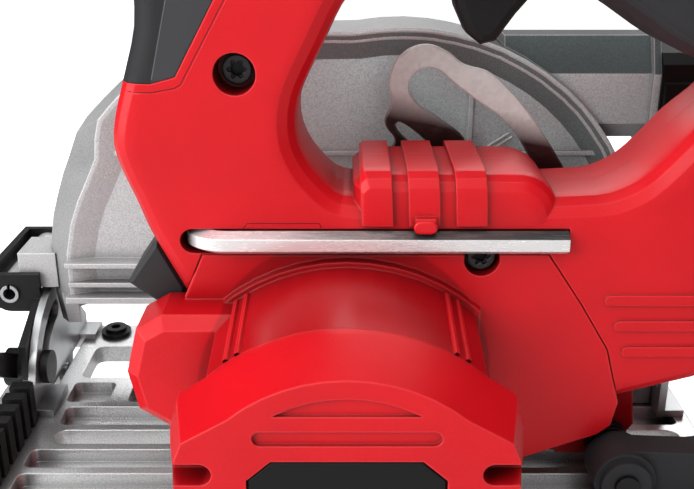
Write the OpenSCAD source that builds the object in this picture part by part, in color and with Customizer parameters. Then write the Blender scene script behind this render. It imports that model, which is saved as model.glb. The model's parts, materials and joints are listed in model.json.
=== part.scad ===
// Cordless sidewinder circular saw. Millimetres. +X is the rear, +Y the blade
// side, +Z up. The sole of the shoe is z = 0 and the motor axis is at x = 0.

/* [Blade] */
// Blade diameter
blade_d = 184; // [160:1:184]
// Blade thickness at the body
blade_t = 1.8; // [1.4:0.1:2.4]
// Number of blade teeth
blade_teeth = 24; // [16:2:40]
// Distance of the blade's middle plane from the origin
blade_y = 60; // [58:0.5:62]
// Diameter of the arbor hole
arbor_d = 15.9; // [14:0.1:17]

/* [Drive] */
// Height of the motor axis above the sole
motor_z = 56; // [55:0.5:60]
// Gear module
gear_module = 1; // [0.98:0.01:1.04]
// Teeth of the rotor pinion
pinion_teeth = 10; // [9:1:11]
// Teeth of the spindle gear
gear_teeth = 38; // [37:1:40]
// Angle from the motor axis down to the spindle axis
gear_angle = -24.6; // [-28:0.2:-20]
// Width of the spindle gear
gear_w = 10; // [6:1:12]
// Radius of the stator
stator_r = 35; // [31:0.5:36]
// Radius of the rotor core
rotor_r = 20; // [16:0.5:21]

/* [Shoe] */
// Length of the shoe ahead of the origin
shoe_front = 148; // [146:1:156]
// Length of the shoe behind the origin
shoe_rear = 140; // [140:1:150]
// Width of the shoe on the motor side of the origin
shoe_left = 65; // [60:1:80]
// Width of the shoe on the blade side of the origin
shoe_right = 100; // [96:1:104]
// Height of the shoe's ribs above the sole
shoe_t = 8; // [7:0.5:9]
// Thickness of the shoe's floor
shoe_floor = 2.6; // [2:0.2:4]
// Height of the bevel axis above the sole
bevel_z = 5.5; // [4.5:0.5:6]
// Thickness of the steel brackets
plate_t = 3; // [2:0.25:3.5]

/* [Guards] */
// Outer radius of the upper guard's arched rear half
guard_r = 99.5; // [99:0.5:104]
// Wall of the cast guard
guard_wall = 2.5; // [2:0.25:3]
// Near edge of the guard's rim
guard_y0 = 43; // [42:0.5:44]
// Far edge of the guard's rim
guard_y1 = 75; // [74:0.5:80]
// Outer radius of the lower guard
lower_r = 95.2; // [94.6:0.1:95.6]
// Sheet thickness of the lower guard
lower_t = 1.5; // [1:0.1:1.8]

/* [Handle] */
// Motor-side face of the handle
handle_y0 = -35; // [-38:0.5:-34]
// Blade-side face of the handle
handle_y1 = 10; // [6:0.5:12]
// Rounding of the handle's edges
handle_round = 8; // [4:0.5:9]
// Thickness of the rubber grip skins
skin_t = 2.2; // [1.6:0.1:3]
// Radius of the screw recesses
recess_r = 6.6; // [6:0.1:7.5]

/* [Motor housing] */
// Half width of the motor barrel
barrel_w = 41; // [39:0.5:42]
// Outer end of the barrel, where the end cap starts
barrel_y = -80; // [-84:1:-78]
// Outer face of the end cap
cap_y = -103; // [-108:1:-101]
// Half width of the end cap
cap_w = 52; // [49:0.5:54]

/* [Fittings] */
// Hex wrench across flats
hex_af = 7; // [6:0.5:7.5]
// Length of the stored wrench
hex_len = 124; // [110:1:126]
// Thickness of the rafter hook
hook_t = 3.2; // [2.5:0.1:4]
// Outer radius of the dust adapter's outlet
port_r = 18; // [16:0.5:19]
// Wall of the dust adapter's outlet
port_wall = 2.5; // [2:0.25:3.5]
// Length of the battery pack
pack_len = 112; // [95:1:118]
// Width of the battery pack
pack_w = 76; // [70:1:80]
// Height of the battery pack
pack_h = 58; // [50:1:60]

/* [Hidden] */
$fn = 64;

// Clearances
gap = 0.3;          // between pieces that pass each other
fit = 0.04;         // radial running fit
seat = 0.02;        // between a piece and the seat it is pushed into

// Drive layout
centre_dist = gear_module * (pinion_teeth + gear_teeth) / 2;
arbor_x = centre_dist * cos(gear_angle);
arbor_z = motor_z + centre_dist * sin(gear_angle);
blade_r = blade_d / 2;
arbor_r = arbor_d / 2;

// Lateral stations of the drive, from the motor to the blade
wall_y0 = 2;        // motor housing's front wall
wall_y1 = 8;
case_y0 = wall_y1 + seat;
gear_y0 = 13.5;
gear_y1 = gear_y0 + gear_w;
face_y = guard_y0 + 3;          // dished face of the upper guard
case_y1 = face_y - seat;
nose_r = 17;
spring_r = 20;
nose_y = 53.5;
lower_y0 = face_y + guard_wall + 0.7;
lower_y1 = guard_y1 - guard_wall - 4;
flange_r = 17.5;
flange_y0 = 55;

// Joints
pivot_x = -144;     // depth hinge at the front
pivot_z = 49;
pivot_r = 4;
hub_r = 8.5;
tube_y0 = 50;
tube_y1 = 104;
depth_range = 16;
bevel_range = 50;
lever_x = 96;       // depth lock
lever_z = 20;
lever_r = norm([lever_x - pivot_x, lever_z - pivot_z]);
lever_a = atan2(lever_z - pivot_z, lever_x - pivot_x);
bracket_y = 24;     // depth bracket's sheet
front_plate_x = -128;           // front quadrant's rear face
rear_plate_x = 127.3;           // rear quadrant's front face
slot_r = 33;        // bevel lock's slot about the bevel axis
slot_a = 150;       // bolt's angle at zero bevel
bolt_r = 4;
lock_a = 60;        // spindle lock's direction from the spindle
hook_x = 20;        // rafter hook's pivot
hook_z = 103;
hook_y = 16;

// Stored wrench and handle features
wrench_z = 103.8;
wrench_x1 = 72;
hex_r = hex_af / sqrt(3);
wrench_y = handle_y0 - 1;
wrench_bend = -45;
wrench_leg = 16;
bend_r = 8;
mid_y = (handle_y0 + handle_y1) / 2;
trigger_x = 66;
trigger_z = 190.5;

// Battery seat
foot_z = 126;
pack_x = 131.6;
rail_w = 50;
latch_x = pack_x + pack_len - 11.5;
// pitch of the battery cells, and how many fit along the pack
cell_pitch = 19.5;
cells_long = floor((pack_len - 10) / cell_pitch);

// ---------- outlines, all [x, z] and anticlockwise seen from the motor side ----------

function unit(v) = v / norm(v);
function arc(c, r, a0, a1, n) =
    [for (i = [0:n]) let (a = a0 + (a1 - a0) * i / n) c + r * [cos(a), sin(a)]];

// Moves every corner of an outline inwards by d, along its mitre.
function inset(p, d) = let (n = len(p)) [
    for (i = [0:n - 1])
        let (
            u = unit(p[i] - p[(i + n - 1) % n]),
            v = unit(p[(i + 1) % n] - p[i]),
            nu = [-u[1], u[0]],
            nv = [-v[1], v[0]]
        )
        p[i] + (nu + nv) * d / (1 + nu * nv)
];

// Rounds an outline's corners. A point's third number is the length cut from each side, d where it has none.
function soft(p, d, n = 2) = let (m = len(p)) [
    for (i = [0:m - 1])
        let (
            a = xy(p[(i + m - 1) % m]),
            b = xy(p[i]),
            c = xy(p[(i + 1) % m]),
            cut = len(p[i]) > 2 ? p[i][2] : d,
            from = b + min(cut, 0.45 * norm(a - b)) * unit(a - b),
            to = b + min(cut, 0.45 * norm(c - b)) * unit(c - b)
        )
        each cut == 0 ? [b] : [for (j = [0:n]) let (t = j / n) (1 - t) * (1 - t) * from + 2 * t * (1 - t) * b + t * t * to]
];
function xy(q) = [q[0], q[1]];

function reversed(p) = [for (i = [len(p) - 1:-1:0]) p[i]];

handle_outline = soft([
    [-30, 84.2, 0], [66, 84.2, 0], [84, 40.4, 0], [108, 47], [125, 51.6], [131, 60, 4], [131, foot_z, 0],
    [224, foot_z, 0], [231, 132, 0], [231, 145], [223, 155], [190, 171, 12], [150, 187, 12], [110, 200, 12],
    [60, 213, 12], [20, 222, 10], [-14, 228, 8], [-38, 229, 5], [-54, 224, 5], [-64, 212, 5], [-67, 199, 5],
    [-65, 186, 5], [-65.3, 172, 6], [-70.3, 156, 5], [-74, 144, 4], [-75.5, 135, 4], [-73, 126, 3],
    [-69.5, 117.5, 3], [-65.3, 105.5, 3], [-54.6, 84.2, 0]
], 4);

loop_outline = soft([
    [-3.8, 119], [2, 117.6], [68, 117.6, 8], [86, 118.6], [95.5, 123.5], [103, 131.5], [110, 140],
    [119, 147.6], [123, 152.5, 2], [121.5, 156.6, 2], [113.5, 160.4], [100.8, 165.6, 6], [81.3, 178.6, 6],
    [70, 184], [52, 188.5, 6], [30, 190.5, 6], [14, 190.5], [4.5, 186.5], [-1.8, 178],
    [-7, 167], [-12.1, 157], [-15.2, 149.7], [-16.2, 142], [-15.4, 135.5], [-12.2, 128.4]
], 4);

hump_outline = concat(
    [[2, 96], [69, 96], [69.5, 106]],
    arc([56, 112], 13.5, -10, 84, 6),
    [[52, 125.6], [6, 125.6], [2, 122]]);

housing_outline = [
    [-40, 15], [48, 14.5], [64.6, 21.4], [88.6, 30.4], [93, 34], [94.8, 43.2], [89, 64.1],
    [78.7, 81], [66.4, 99.2], [-47.7, 99.2], [-54.2, 84], [-54, 46], [-50, 24]
];

barrel_outline = concat(
    arc([0, 33.1], 61.3, 47.8, 132.2, 12),
    [[-barrel_w, 62], [-barrel_w, 36], [-28, 16], [28, 16], [barrel_w, 36], [barrel_w, 62]]);

cap_outline = concat(
    arc([0, 33.1], 61.3, 47.8, 132.2, 12),
    [[-cap_w + 2.5, 73], [-cap_w, 64], [-cap_w + 1, 30], [-38, 14], [38, 14],
     [cap_w - 1, 30], [cap_w, 64], [cap_w - 2.5, 73]]);

cap_face = concat(
    arc([0, 40], 50, 49, 131, 12),
    [[-cap_w + 6.5, 70.5], [-cap_w + 3.5, 63], [-cap_w + 4.5, 31], [-35, 17.5], [35, 17.5],
     [cap_w - 4.5, 31], [cap_w - 3.5, 63], [cap_w - 6.5, 70.5]]);

boss_outline = [
    [-36, 37], [-36, 83], [-60, 83], [-68.5, 78], [-72.5, 62.5], [-69.5, 48.5], [-59, 41.5]
];

// Upper guard: arched rear, flat crown and a long nose that carries the front hinge.
guard_cx = 21.6;
guard_cz = 62;
guard_low = 34;
guard_nose = [
    [-30, 159.4], [-60, 153.2], [-80, 145.2], [-91.5, 138], [-98.5, 131.5], [-105.5, 124.5],
    [-110.6, 117.6], [-114.5, 108], [-118, 100], [-121, 91.5], [-124, 82], [-126.5, 68],
    [-126.5, 46], [-125, guard_low]
];
guard_near_nose = [
    [-30, 159.4], [-60, 152.8], [-78, 144.6], [-88, 136.6], [-93.5, 131], [-98.4, 125.5],
    [-100.4, 117.6], [-101.2, 109.5], [-105.2, 101], [-109.8, 91.7], [-113.6, 82],
    [-116.8, 68], [-117, 46], [-115.6, guard_low]
];
guard_arch = arc([guard_cx, guard_cz], guard_r, 0, 100, 18);
function guard_ring(nose) = concat([[guard_cx + guard_r, guard_low]], guard_arch, nose);
guard_silhouette = guard_ring(guard_nose);
guard_edge = guard_ring(guard_near_nose);

// ---------- shape helpers ----------

// Skins a stack of outlines [y, outline] into one solid.
module loft(rings) {
    n = len(rings[0][1]);
    m = len(rings);
    points = [for (ring = rings) for (p = ring[1]) [p[0], ring[0], p[1]]];
    sides = [
        for (k = [0:m - 2]) for (i = [0:n - 1])
            let (j = (i + 1) % n, a = k * n, b = a + n)
            each [[a + i, a + j, b + j], [a + i, b + j, b + i]]
    ];
    caps = [
        [for (i = [n - 1:-1:0]) i],
        [for (i = [0:n - 1]) (m - 1) * n + i]
    ];
    polyhedron(points, concat(sides, caps), convexity = 8);
}

// Outline from y0 to y1 with a round of radius r0 at y0 and r1 at y1.
module pillow(p, y0, y1, r0, r1, steps = 3) {
    near = r0 > 0
        ? [for (s = [0:steps]) let (a = 90 * s / steps) [y0 + r0 * (1 - cos(a)), inset(p, r0 * (1 - sin(a)))]]
        : [[y0, p]];
    far = r1 > 0
        ? [for (s = [steps:-1:0]) let (a = 90 * s / steps) [y1 - r1 * (1 - cos(a)), inset(p, r1 * (1 - sin(a)))]]
        : [[y1, p]];
    loft(concat(near, far));
}

// Opening through y0 to y1 whose rim flares out by r0 at y0 and r1 at y1.
module flare(p, y0, y1, r0, r1, steps = 3) {
    near = r0 > 0
        ? concat([[y0 - 1, inset(p, -r0)]],
            [for (s = [0:steps]) let (a = 90 * s / steps) [y0 + r0 * (1 - cos(a)), inset(p, -r0 * (1 - sin(a)))]])
        : [[y0 - 1, p]];
    far = r1 > 0
        ? concat([for (s = [steps:-1:0]) let (a = 90 * s / steps) [y1 - r1 * (1 - cos(a)), inset(p, -r1 * (1 - sin(a)))]],
            [[y1 + 1, inset(p, -r1)]])
        : [[y1 + 1, p]];
    loft(concat(near, far));
}

// A moulded shell, joined into one closed skin.
module moulded() resize([0, 0, 0]) children();

// Prism of an [x, z] outline between two lateral planes.
module slab(p, y0, y1) {
    translate([0, y1, 0]) rotate([90, 0, 0]) linear_extrude(y1 - y0) polygon(p);
}

// Lateral cylinder at [x, z].
module bar(x, z, r, y0, y1, fn = 64) {
    translate([x, y1, z]) rotate([90, 0, 0]) cylinder(r = r, h = y1 - y0, $fn = fn);
}

// Fore-aft cylinder at [y, z].
module rod(y, z, r, x0, x1) {
    translate([x0, y, z]) rotate([0, 90, 0]) cylinder(r = r, h = x1 - x0);
}

module box(low, high) {
    translate(low) cube(high - low);
}

// Rounded rectangle in plan.
module plate2d(x0, y0, x1, y1, r) {
    translate([x0 + r, y0]) square([x1 - x0 - 2 * r, y1 - y0]);
    translate([x0, y0 + r]) square([x1 - x0, y1 - y0 - 2 * r]);
    for (x = [x0 + r, x1 - r], y = [y0 + r, y1 - r])
        translate([x, y]) circle(r, $fn = 32);
}

// Fore-aft slot with round ends, seen from the motor side.
module slot_y(x0, x1, z, r, y0, y1) {
    box([x0 + r, y0, z - r], [x1 - r, y1, z + r]);
    bar(x0 + r, z, r, y0, y1, 32);
    bar(x1 - r, z, r, y0, y1, 32);
}

// Sector of a ring about the spindle axis, in [x, z], from angle a0 to a1.
module ring_sector(r0, r1, a0, a1, y0, y1) {
    span = a1 - a0;
    steps = ceil(span / 30);
    reach = r1 / cos(span / steps / 2) + 2;
    fan = concat([[arbor_x, arbor_z]], arc([arbor_x, arbor_z], reach, a0, a1, steps));
    intersection() {
        difference() {
            bar(arbor_x, arbor_z, r1, y0, y1, 96);
            bar(arbor_x, arbor_z, r0, y0 - 1, y1 + 1, 96);
        }
        slab(fan, y0 - 2, y1 + 2);
    }
}

// Socket-head or domed screw along +Y from its head face at y.
module screw(x, z, y, head_r, head_h, shank_r, shank_l) {
    difference() {
        bar(x, z, head_r, y, y + head_h, 32);
        bar(x, z, head_r * 0.45, y - 1, y + head_h * 0.6, 6);
    }
    bar(x, z, shank_r, y + head_h, y + head_h + shank_l, 24);
}

// ---------- shoe and its brackets ----------

window_x0 = -118;
window_x1 = 116;
window_y0 = blade_y - 13;
window_y1 = blade_y + 23;
tilt_y0 = blade_y - 25;         // room the tilted lower guard needs
notch_y0 = blade_y - 22;
notch_y1 = blade_y + 22;
rib = 3.6;

// Pocket rows between the ribs: lateral start, lateral end, front end, rear end.
pocket_rows = [
    [8, 22, -117, 134], [-22, -10, -122, 134],
    [-40, -26, -122, 134], [-59, -44, -122, 134]
];

module pocket(x0, y0, x1, y1) {
    translate([0, 0, shoe_floor]) linear_extrude(shoe_t)
        plate2d(x0, y0, x1, y1, 3);
}

module shoe() color("silver") difference() {
    linear_extrude(shoe_t) plate2d(-shoe_front, -shoe_left, shoe_rear, shoe_right, 6);
    // blade window, wider where the blade tilts
    translate([0, 0, -1]) linear_extrude(shoe_t + 2) {
        plate2d(window_x0, window_y0, window_x1, window_y1 - 6, 4);
        plate2d(-76, window_y0, window_x1, window_y1, 4);
        plate2d(-64, tilt_y0, 108, window_y1, 4);
    }
    // notches round the bevel hinges
    box([front_plate_x - 2 * plate_t - 2, notch_y0, -1], [front_plate_x + 2, notch_y1 + 10, shoe_t + 1]);
    box([rear_plate_x - plate_t - 2, notch_y0, -1], [rear_plate_x + plate_t + 2, notch_y1, shoe_t + 1]);
    // rows of pockets, each split by cross ribs
    for (row = pocket_rows) {
        third = (row[3] - row[2] - 2 * rib) / 3;
        for (i = [0:2]) {
            x0 = row[2] + i * (third + rib);
            pocket(x0, row[0], x0 + third, row[1]);
        }
    }
    for (x = [[-119, -101], [-93, -68], [112, 122]]) pocket(x[0], 26, x[1], 43);
    pocket(-62, 26, 106, 31.5);
    // long through slots for the edge guide
    translate([0, 0, -1]) linear_extrude(shoe_t + 2)
        for (x = [[-116, -20], [20, 132]])
            plate2d(x[0], -6, x[1], 4, 4.9);
    // guide-bar channel across the front
    box([-142, -shoe_left - 1, 2.6], [-134.2 - 1.4, window_y0 - 12, 6.4]);
    pocket(-100, window_y1 + 3.5, 100, shoe_right - 4);
}

// Flat sheet in the plane across the saw, from [y, z] points.
module cross_sheet(p, x0, x1) {
    translate([x0, 0, 0]) rotate([90, 0, 90]) linear_extrude(x1 - x0) polygon(p);
}

module bevel_slot(x0, x1) {
    translate([x0, blade_y, bevel_z]) rotate([90, 0, 90]) {
        intersection() {
            difference() {
                cylinder(r = slot_r + bolt_r + gap, h = x1 - x0, $fn = 96);
                translate([0, 0, -1]) cylinder(r = slot_r - bolt_r - gap, h = x1 - x0 + 2, $fn = 96);
            }
            translate([0, 0, -1]) linear_extrude(x1 - x0 + 2) polygon([
                [0, 0], 60 * [cos(slot_a - bevel_range), sin(slot_a - bevel_range)],
                60 * [cos(slot_a - bevel_range / 2), sin(slot_a - bevel_range / 2)],
                60 * [cos(slot_a), sin(slot_a)]]);
        }
        for (a = [slot_a - bevel_range, slot_a])
            translate(slot_r * [cos(a), sin(a), 0]) cylinder(r = bolt_r + gap, h = x1 - x0);
    }
}

quad_y0 = 14;

module quadrant(x0, x1, leg0, leg1) {
    hump = arc([blade_y, bevel_z], slot_r + 11, 162, 84, 6);
    difference() {
        union() {
            cross_sheet(concat([[quad_y0, shoe_t], [quad_y0, 25]], hump, [[98, 16], [98, shoe_t]]), x0, x1);
            cross_sheet([[blade_y - 9, 1], [blade_y + 9, 1], [blade_y + 12, shoe_t + 1], [blade_y - 12, shoe_t + 1]], x0, x1);
            for (y = [[quad_y0, blade_y - 24], [blade_y + 24, 98]])
                box([leg0, y[0], shoe_t], [leg1, y[1], shoe_t + plate_t]);
        }
        bevel_slot(x0 - 1, x1 + 1);
        rod(blade_y, bevel_z, 3, x0 - 1, x1 + 1);
    }
}

module front_quadrant() color("lightgray")
    quadrant(front_plate_x - plate_t, front_plate_x, front_plate_x - 0.1, front_plate_x + 7.5);

module rear_quadrant() color("lightgray")
    quadrant(rear_plate_x, rear_plate_x + plate_t, rear_plate_x + plate_t - 0.1, shoe_rear - 2);

module bevel_pins() color("dimgray") {
    rod(blade_y, bevel_z, 3 - fit, front_plate_x - 2 * plate_t - 1, front_plate_x + 1);
    rod(blade_y, bevel_z, 3 - fit, rear_plate_x - plate_t - 1, rear_plate_x + plate_t + 1);
}

module shoe_end_cap() color("#222222") difference() {
    union() {
        box([front_plate_x - plate_t - 1.5, -38, shoe_t + seat], [front_plate_x + 0.5, quad_y0 - gap, 23]);
        for (i = [0:5])
            box([front_plate_x - plate_t - 3, -37 + i * 8.6, shoe_t + seat],
                [front_plate_x + 2, -32 + i * 8.6, 26]);
    }
    box([front_plate_x - plate_t, -42, shoe_t + 2], [front_plate_x - 1, quad_y0 - 8, 20]);
}

module stop_screw() color("#1c1c1c") difference() {
    union() {
        translate([-112, 91, shoe_t + seat]) cylinder(r = 7, h = 2);
        translate([-112, 91, shoe_t + 1]) cylinder(r = 5, h = 2.8);
    }
    translate([-112, 91, shoe_t + 2]) cylinder(r = 2.4, h = 6, $fn = 6);
}

front_tilt_x1 = front_plate_x - plate_t - gap;
front_tilt_x0 = front_tilt_x1 - plate_t;
rear_tilt_x1 = rear_plate_x - gap;
rear_tilt_x0 = rear_tilt_x1 - plate_t;

module front_bracket() color("#262626") difference() {
    union() {
        // upright sheet on the bevel axis
        cross_sheet([
            [blade_y - 38, 13], [blade_y - 13, 8.8], [blade_y - 5, 1.5], [blade_y + 5, 1.5], [blade_y + 8, 13],
            [blade_y + 8, 18.5], [blade_y + 27, 42.5], [tube_y1 + gap + plate_t, 42.5], [tube_y1 + gap + plate_t, 46.5],
            [tube_y0 - gap - plate_t, 46.5], [blade_y - 38, 36]
        ], front_tilt_x0, front_tilt_x1);
        // two ears that carry the hinge pin
        for (y = [tube_y0 - gap - plate_t, tube_y1 + gap]) {
            bar(pivot_x, pivot_z, hub_r, y, y + plate_t);
            box([pivot_x, y, pivot_z - hub_r], [front_tilt_x1, y + plate_t, pivot_z + hub_r]);
        }
        // web across the front of the ears
        box([pivot_x - 11.5, tube_y0 - gap - plate_t, pivot_z - 7], [pivot_x - 8.6, tube_y1 + gap + plate_t, pivot_z + 8.5]);
        for (y = [tube_y0 - gap - plate_t, tube_y1 + gap])
            box([pivot_x - 11.5, y, pivot_z - 7], [pivot_x, y + plate_t, pivot_z + 8.5]);
    }
    bar(pivot_x, pivot_z, pivot_r, 40, 115);
    rod(blade_y, bevel_z, 3, front_tilt_x0 - 1, front_tilt_x1 + 1);
    translate([front_tilt_x0 - 1, blade_y, bevel_z]) rotate([slot_a, 0, 0]) translate([0, slot_r, 0])
        rotate([0, 90, 0]) cylinder(r = bolt_r, h = 2 * plate_t);
}

// Rear bracket: arc-slotted sheet for the depth lock, bent round to the bevel axis.
module depth_bracket() color("lightgray") difference() {
    union() {
        intersection() {
            slab([[60, shoe_t + 0.6], [rear_tilt_x1, shoe_t + 0.6], [rear_tilt_x1, 60], [114, 104], [60, 104]],
                bracket_y, bracket_y + plate_t);
            difference() {
                bar(pivot_x, pivot_z, lever_r + 60, bracket_y, bracket_y + plate_t, 128);
                bar(pivot_x, pivot_z, lever_r - 13, bracket_y - 1, bracket_y + plate_t + 1, 128);
            }
        }
        cross_sheet([
            [bracket_y, shoe_t + 0.6], [blade_y - 13, shoe_t + 0.6], [blade_y - 6, 1.5], [blade_y + 5, 1.5],
            [blade_y + 8, 13], [blade_y + 12, 27], [blade_y + 6, 46], [bracket_y, 60]
        ], rear_tilt_x0, rear_tilt_x1);
    }
    // slot about the depth hinge
    intersection() {
        difference() {
            bar(pivot_x, pivot_z, lever_r + bolt_r + gap, bracket_y - 1, bracket_y + plate_t + 1, 128);
            bar(pivot_x, pivot_z, lever_r - bolt_r - gap, bracket_y - 2, bracket_y + plate_t + 2, 128);
        }
        slab([[pivot_x, pivot_z],
              [pivot_x, pivot_z] + 1.2 * lever_r * [cos(lever_a), sin(lever_a)],
              [pivot_x, pivot_z] + 1.2 * lever_r * [cos(lever_a + depth_range), sin(lever_a + depth_range)]],
            bracket_y - 3, bracket_y + plate_t + 3);
    }
    for (a = [lever_a, lever_a + depth_range])
        bar(pivot_x + lever_r * cos(a), pivot_z + lever_r * sin(a), bolt_r + gap,
            bracket_y - 1, bracket_y + plate_t + 1);
    rod(blade_y, bevel_z, 3, rear_tilt_x0 - 1, rear_tilt_x1 + 1);
}

module depth_pivot_pin() color("darkgray") difference() {
    bar(pivot_x, pivot_z, pivot_r - fit, tube_y0 - plate_t - 1.5, tube_y1 + plate_t + 1.5);
    bar(pivot_x, pivot_z, pivot_r - 1.4, tube_y0 - plate_t - 3, tube_y1 + plate_t + 3);
    box([pivot_x - 0.6, tube_y0 - 10, pivot_z], [pivot_x + 0.6, tube_y1 + 10, pivot_z + pivot_r + 1]);
}

module on_bevel_bolt() {
    translate([0, blade_y, bevel_z]) rotate([slot_a, 0, 0]) translate([0, slot_r, 0])
        rotate([0, 90, 0]) children();
}

lever_bolt_x0 = front_tilt_x0 - 9;

module bevel_bolt() color("dimgray") on_bevel_bolt() {
    translate([0, 0, lever_bolt_x0]) cylinder(r = bolt_r - fit, h = front_plate_x + gap - lever_bolt_x0);
    translate([0, 0, front_plate_x + gap]) cylinder(r = 7, h = 3);
}

module bevel_lever() color("#222222") on_bevel_bolt() difference() {
    union() {
        translate([0, 0, lever_bolt_x0 + 0.5]) cylinder(r = 8, h = 8);
        translate([0, 0, lever_bolt_x0 + 0.5]) linear_extrude(6) polygon([
            [-5, 0], [-5, 22], [-3.5, 36], [3.5, 36], [5, 22], [5, 0]]);
    }
    translate([0, 0, lever_bolt_x0 - 2]) cylinder(r = bolt_r, h = 14);
}

// ---------- upper guard and gearcase ----------

// Takes an inset outline's bottom corners down through the guard's open underside.
function lowered(p) = [for (q = p) q[1] < guard_low + 12 ? [q[0], guard_low - 10] : q];

module guard_body() moulded() {
    mid0 = guard_y0 + 11;
    mid1 = guard_y1 - 11;
    difference() {
        loft([[guard_y0, guard_edge], [mid0, guard_silhouette], [mid1, guard_silhouette], [guard_y1, guard_edge]]);
        // inside, open below
        inner = inset(guard_silhouette, guard_wall);
        inner_edge = inset(guard_edge, guard_wall);
        loft([[face_y + guard_wall, lowered(inner_edge)], [mid0 + 1, lowered(inner)],
              [mid1 - 1, lowered(inner)], [guard_y1 - guard_wall, lowered(inner_edge)]]);
        // dished motor-side face inside a sloping band
        loft([[guard_y0 - 1, lowered(inset(guard_edge, -1.5))], [face_y, lowered(inset(guard_edge, 11))]]);
    }
}

module upper_guard() color("lightgray") difference() {
    union() {
        difference() {
            guard_body();
            // the motor-side wall ends higher at the nose
            box([-140, guard_y0 - 1, guard_low - 1], [-62, face_y + guard_wall + 1, 48]);
            // access to the blade bolt
            bar(arbor_x, arbor_z, 30, guard_y1 - guard_wall - 1, guard_y1 + 1);
        }
        // collar round the gearcase nose
        bar(arbor_x, arbor_z, 27, face_y, face_y + guard_wall);
        // cast ribs on the motor-side face
        box([-117, guard_y0 - 4, 63.5], [-62, face_y + 0.5, 65.6]);
        box([-117, guard_y0 - 1.5, 54], [-62, face_y + 0.5, 56]);
        box([-118, guard_y0 - 4, 47.5], [-62, face_y + 0.5, 50.2]);
        box([-100, face_y - 1.2, 110.4], [100, face_y + 0.5, 112.2]);
        box([48, face_y - 1.2, 111], [50, face_y + 0.5, 140]);
        // hinge arm and tube
        box([pivot_x + 4, tube_y0, 50.5], [-124, guard_y1 - 5, 66]);
        bar(pivot_x, pivot_z, 6.6, tube_y0, tube_y1);
        box([pivot_x, tube_y0, pivot_z - 0.5], [pivot_x + 6.5, guard_y1 - 5, 55.6]);
        chute_outer();
        // seats of the gearcase screws
        for (p = case_bolts) bar(p[0], p[1], 5, face_y, face_y + guard_wall);
    }
    bar(pivot_x, pivot_z, pivot_r, 40, 115);
    bar(arbor_x, arbor_z, nose_r + seat, guard_y0 - 5, face_y + guard_wall + 1);
    chute_inner();
    for (p = case_bolts) bar(p[0], p[1], 2.2, face_y - 5, face_y + guard_wall + 1, 24);
}

case_bolts = [[-8, 72], [-16, 38], [52, 66], [56, 38]];
chute_y0 = guard_y0 + 4;
chute_y1 = guard_y1;
chute_x1 = 123;
chute_low = 116;
chute_high = 157;

module chute_profile(d, x0, x1) {
    cross_sheet([
        [chute_y0 + d, chute_low + 7], [chute_y0 + 7 + d, chute_low + d], [chute_y1 - 7 - d, chute_low + d],
        [chute_y1 - d, chute_low + 7], [chute_y1 - d, chute_high - 7], [chute_y1 - 7 - d, chute_high - d],
        [chute_y0 + 7 + d, chute_high - d], [chute_y0 + d, chute_high - 14]
    ], x0, x1);
}

module chute_outer() {
    difference() {
        union() {
            chute_profile(0, 62, chute_x1);
            chute_profile(-2, chute_x1 - 3, chute_x1);
        }
        // keep the inside of the guard clear
        slab(inset(guard_silhouette, guard_wall), face_y, guard_y1 - guard_wall);
    }
}

module chute_inner() {
    difference() {
        chute_profile(guard_wall, 70, chute_x1 + 1);
        box([60, guard_y0 - 1, 100], [90, face_y + guard_wall, 160]);
    }
}

module gearcase() color("gray") difference() {
    union() {
        bar(arbor_x, arbor_z, 34, case_y0, case_y1);
        bar(0, motor_z, 28, case_y0, case_y1 - 8);
        for (p = case_bolts) bar(p[0], p[1], 5, case_y0, case_y1);
        bar(arbor_x, arbor_z, nose_r, case_y1 - 1, nose_y);
    }
    bar(arbor_x, arbor_z, 21.6, case_y0 + 4.8, gear_y1 + 3);
    bar(0, motor_z, 8, case_y0 - 1, gear_y1 + 3);
    bar(arbor_x, arbor_z, 10, case_y0 + 0.8, case_y0 + 5);
    bar(arbor_x, arbor_z, 15, gear_y1 + 3, gear_y1 + 15);
    // annular pocket of the lower guard's return spring
    difference() {
        bar(arbor_x, arbor_z, spring_r + 2.4, case_y1 - 6.5, case_y1 + 0.5);
        bar(arbor_x, arbor_z, nose_r, case_y1 - 7, case_y1 + 1);
    }
    bar(arbor_x, arbor_z, 9.2, gear_y1 + 1, nose_y + 1);
    on_lock_line() translate([0, 0, 20]) cylinder(r = 2.5 + fit, h = 20);
    for (p = case_bolts) bar(p[0], p[1], 2.2, case_y0 + 10, case_y1 + 1, 24);
}

module gearcase_screws() color("#222222")
    for (p = case_bolts)
        difference() {
            union() {
                bar(p[0], p[1], 2.2 - seat, case_y0 + 12, face_y + guard_wall);
                bar(p[0], p[1], 4, face_y + guard_wall, lower_y0 - 0.1, 32);
            }
            bar(p[0], p[1], 1.6, face_y + guard_wall, lower_y0 + 1, 6);
        }

// ---------- motor ----------

screw_2 = [44.4, 97.4];
housing_y0 = handle_y0;

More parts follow.
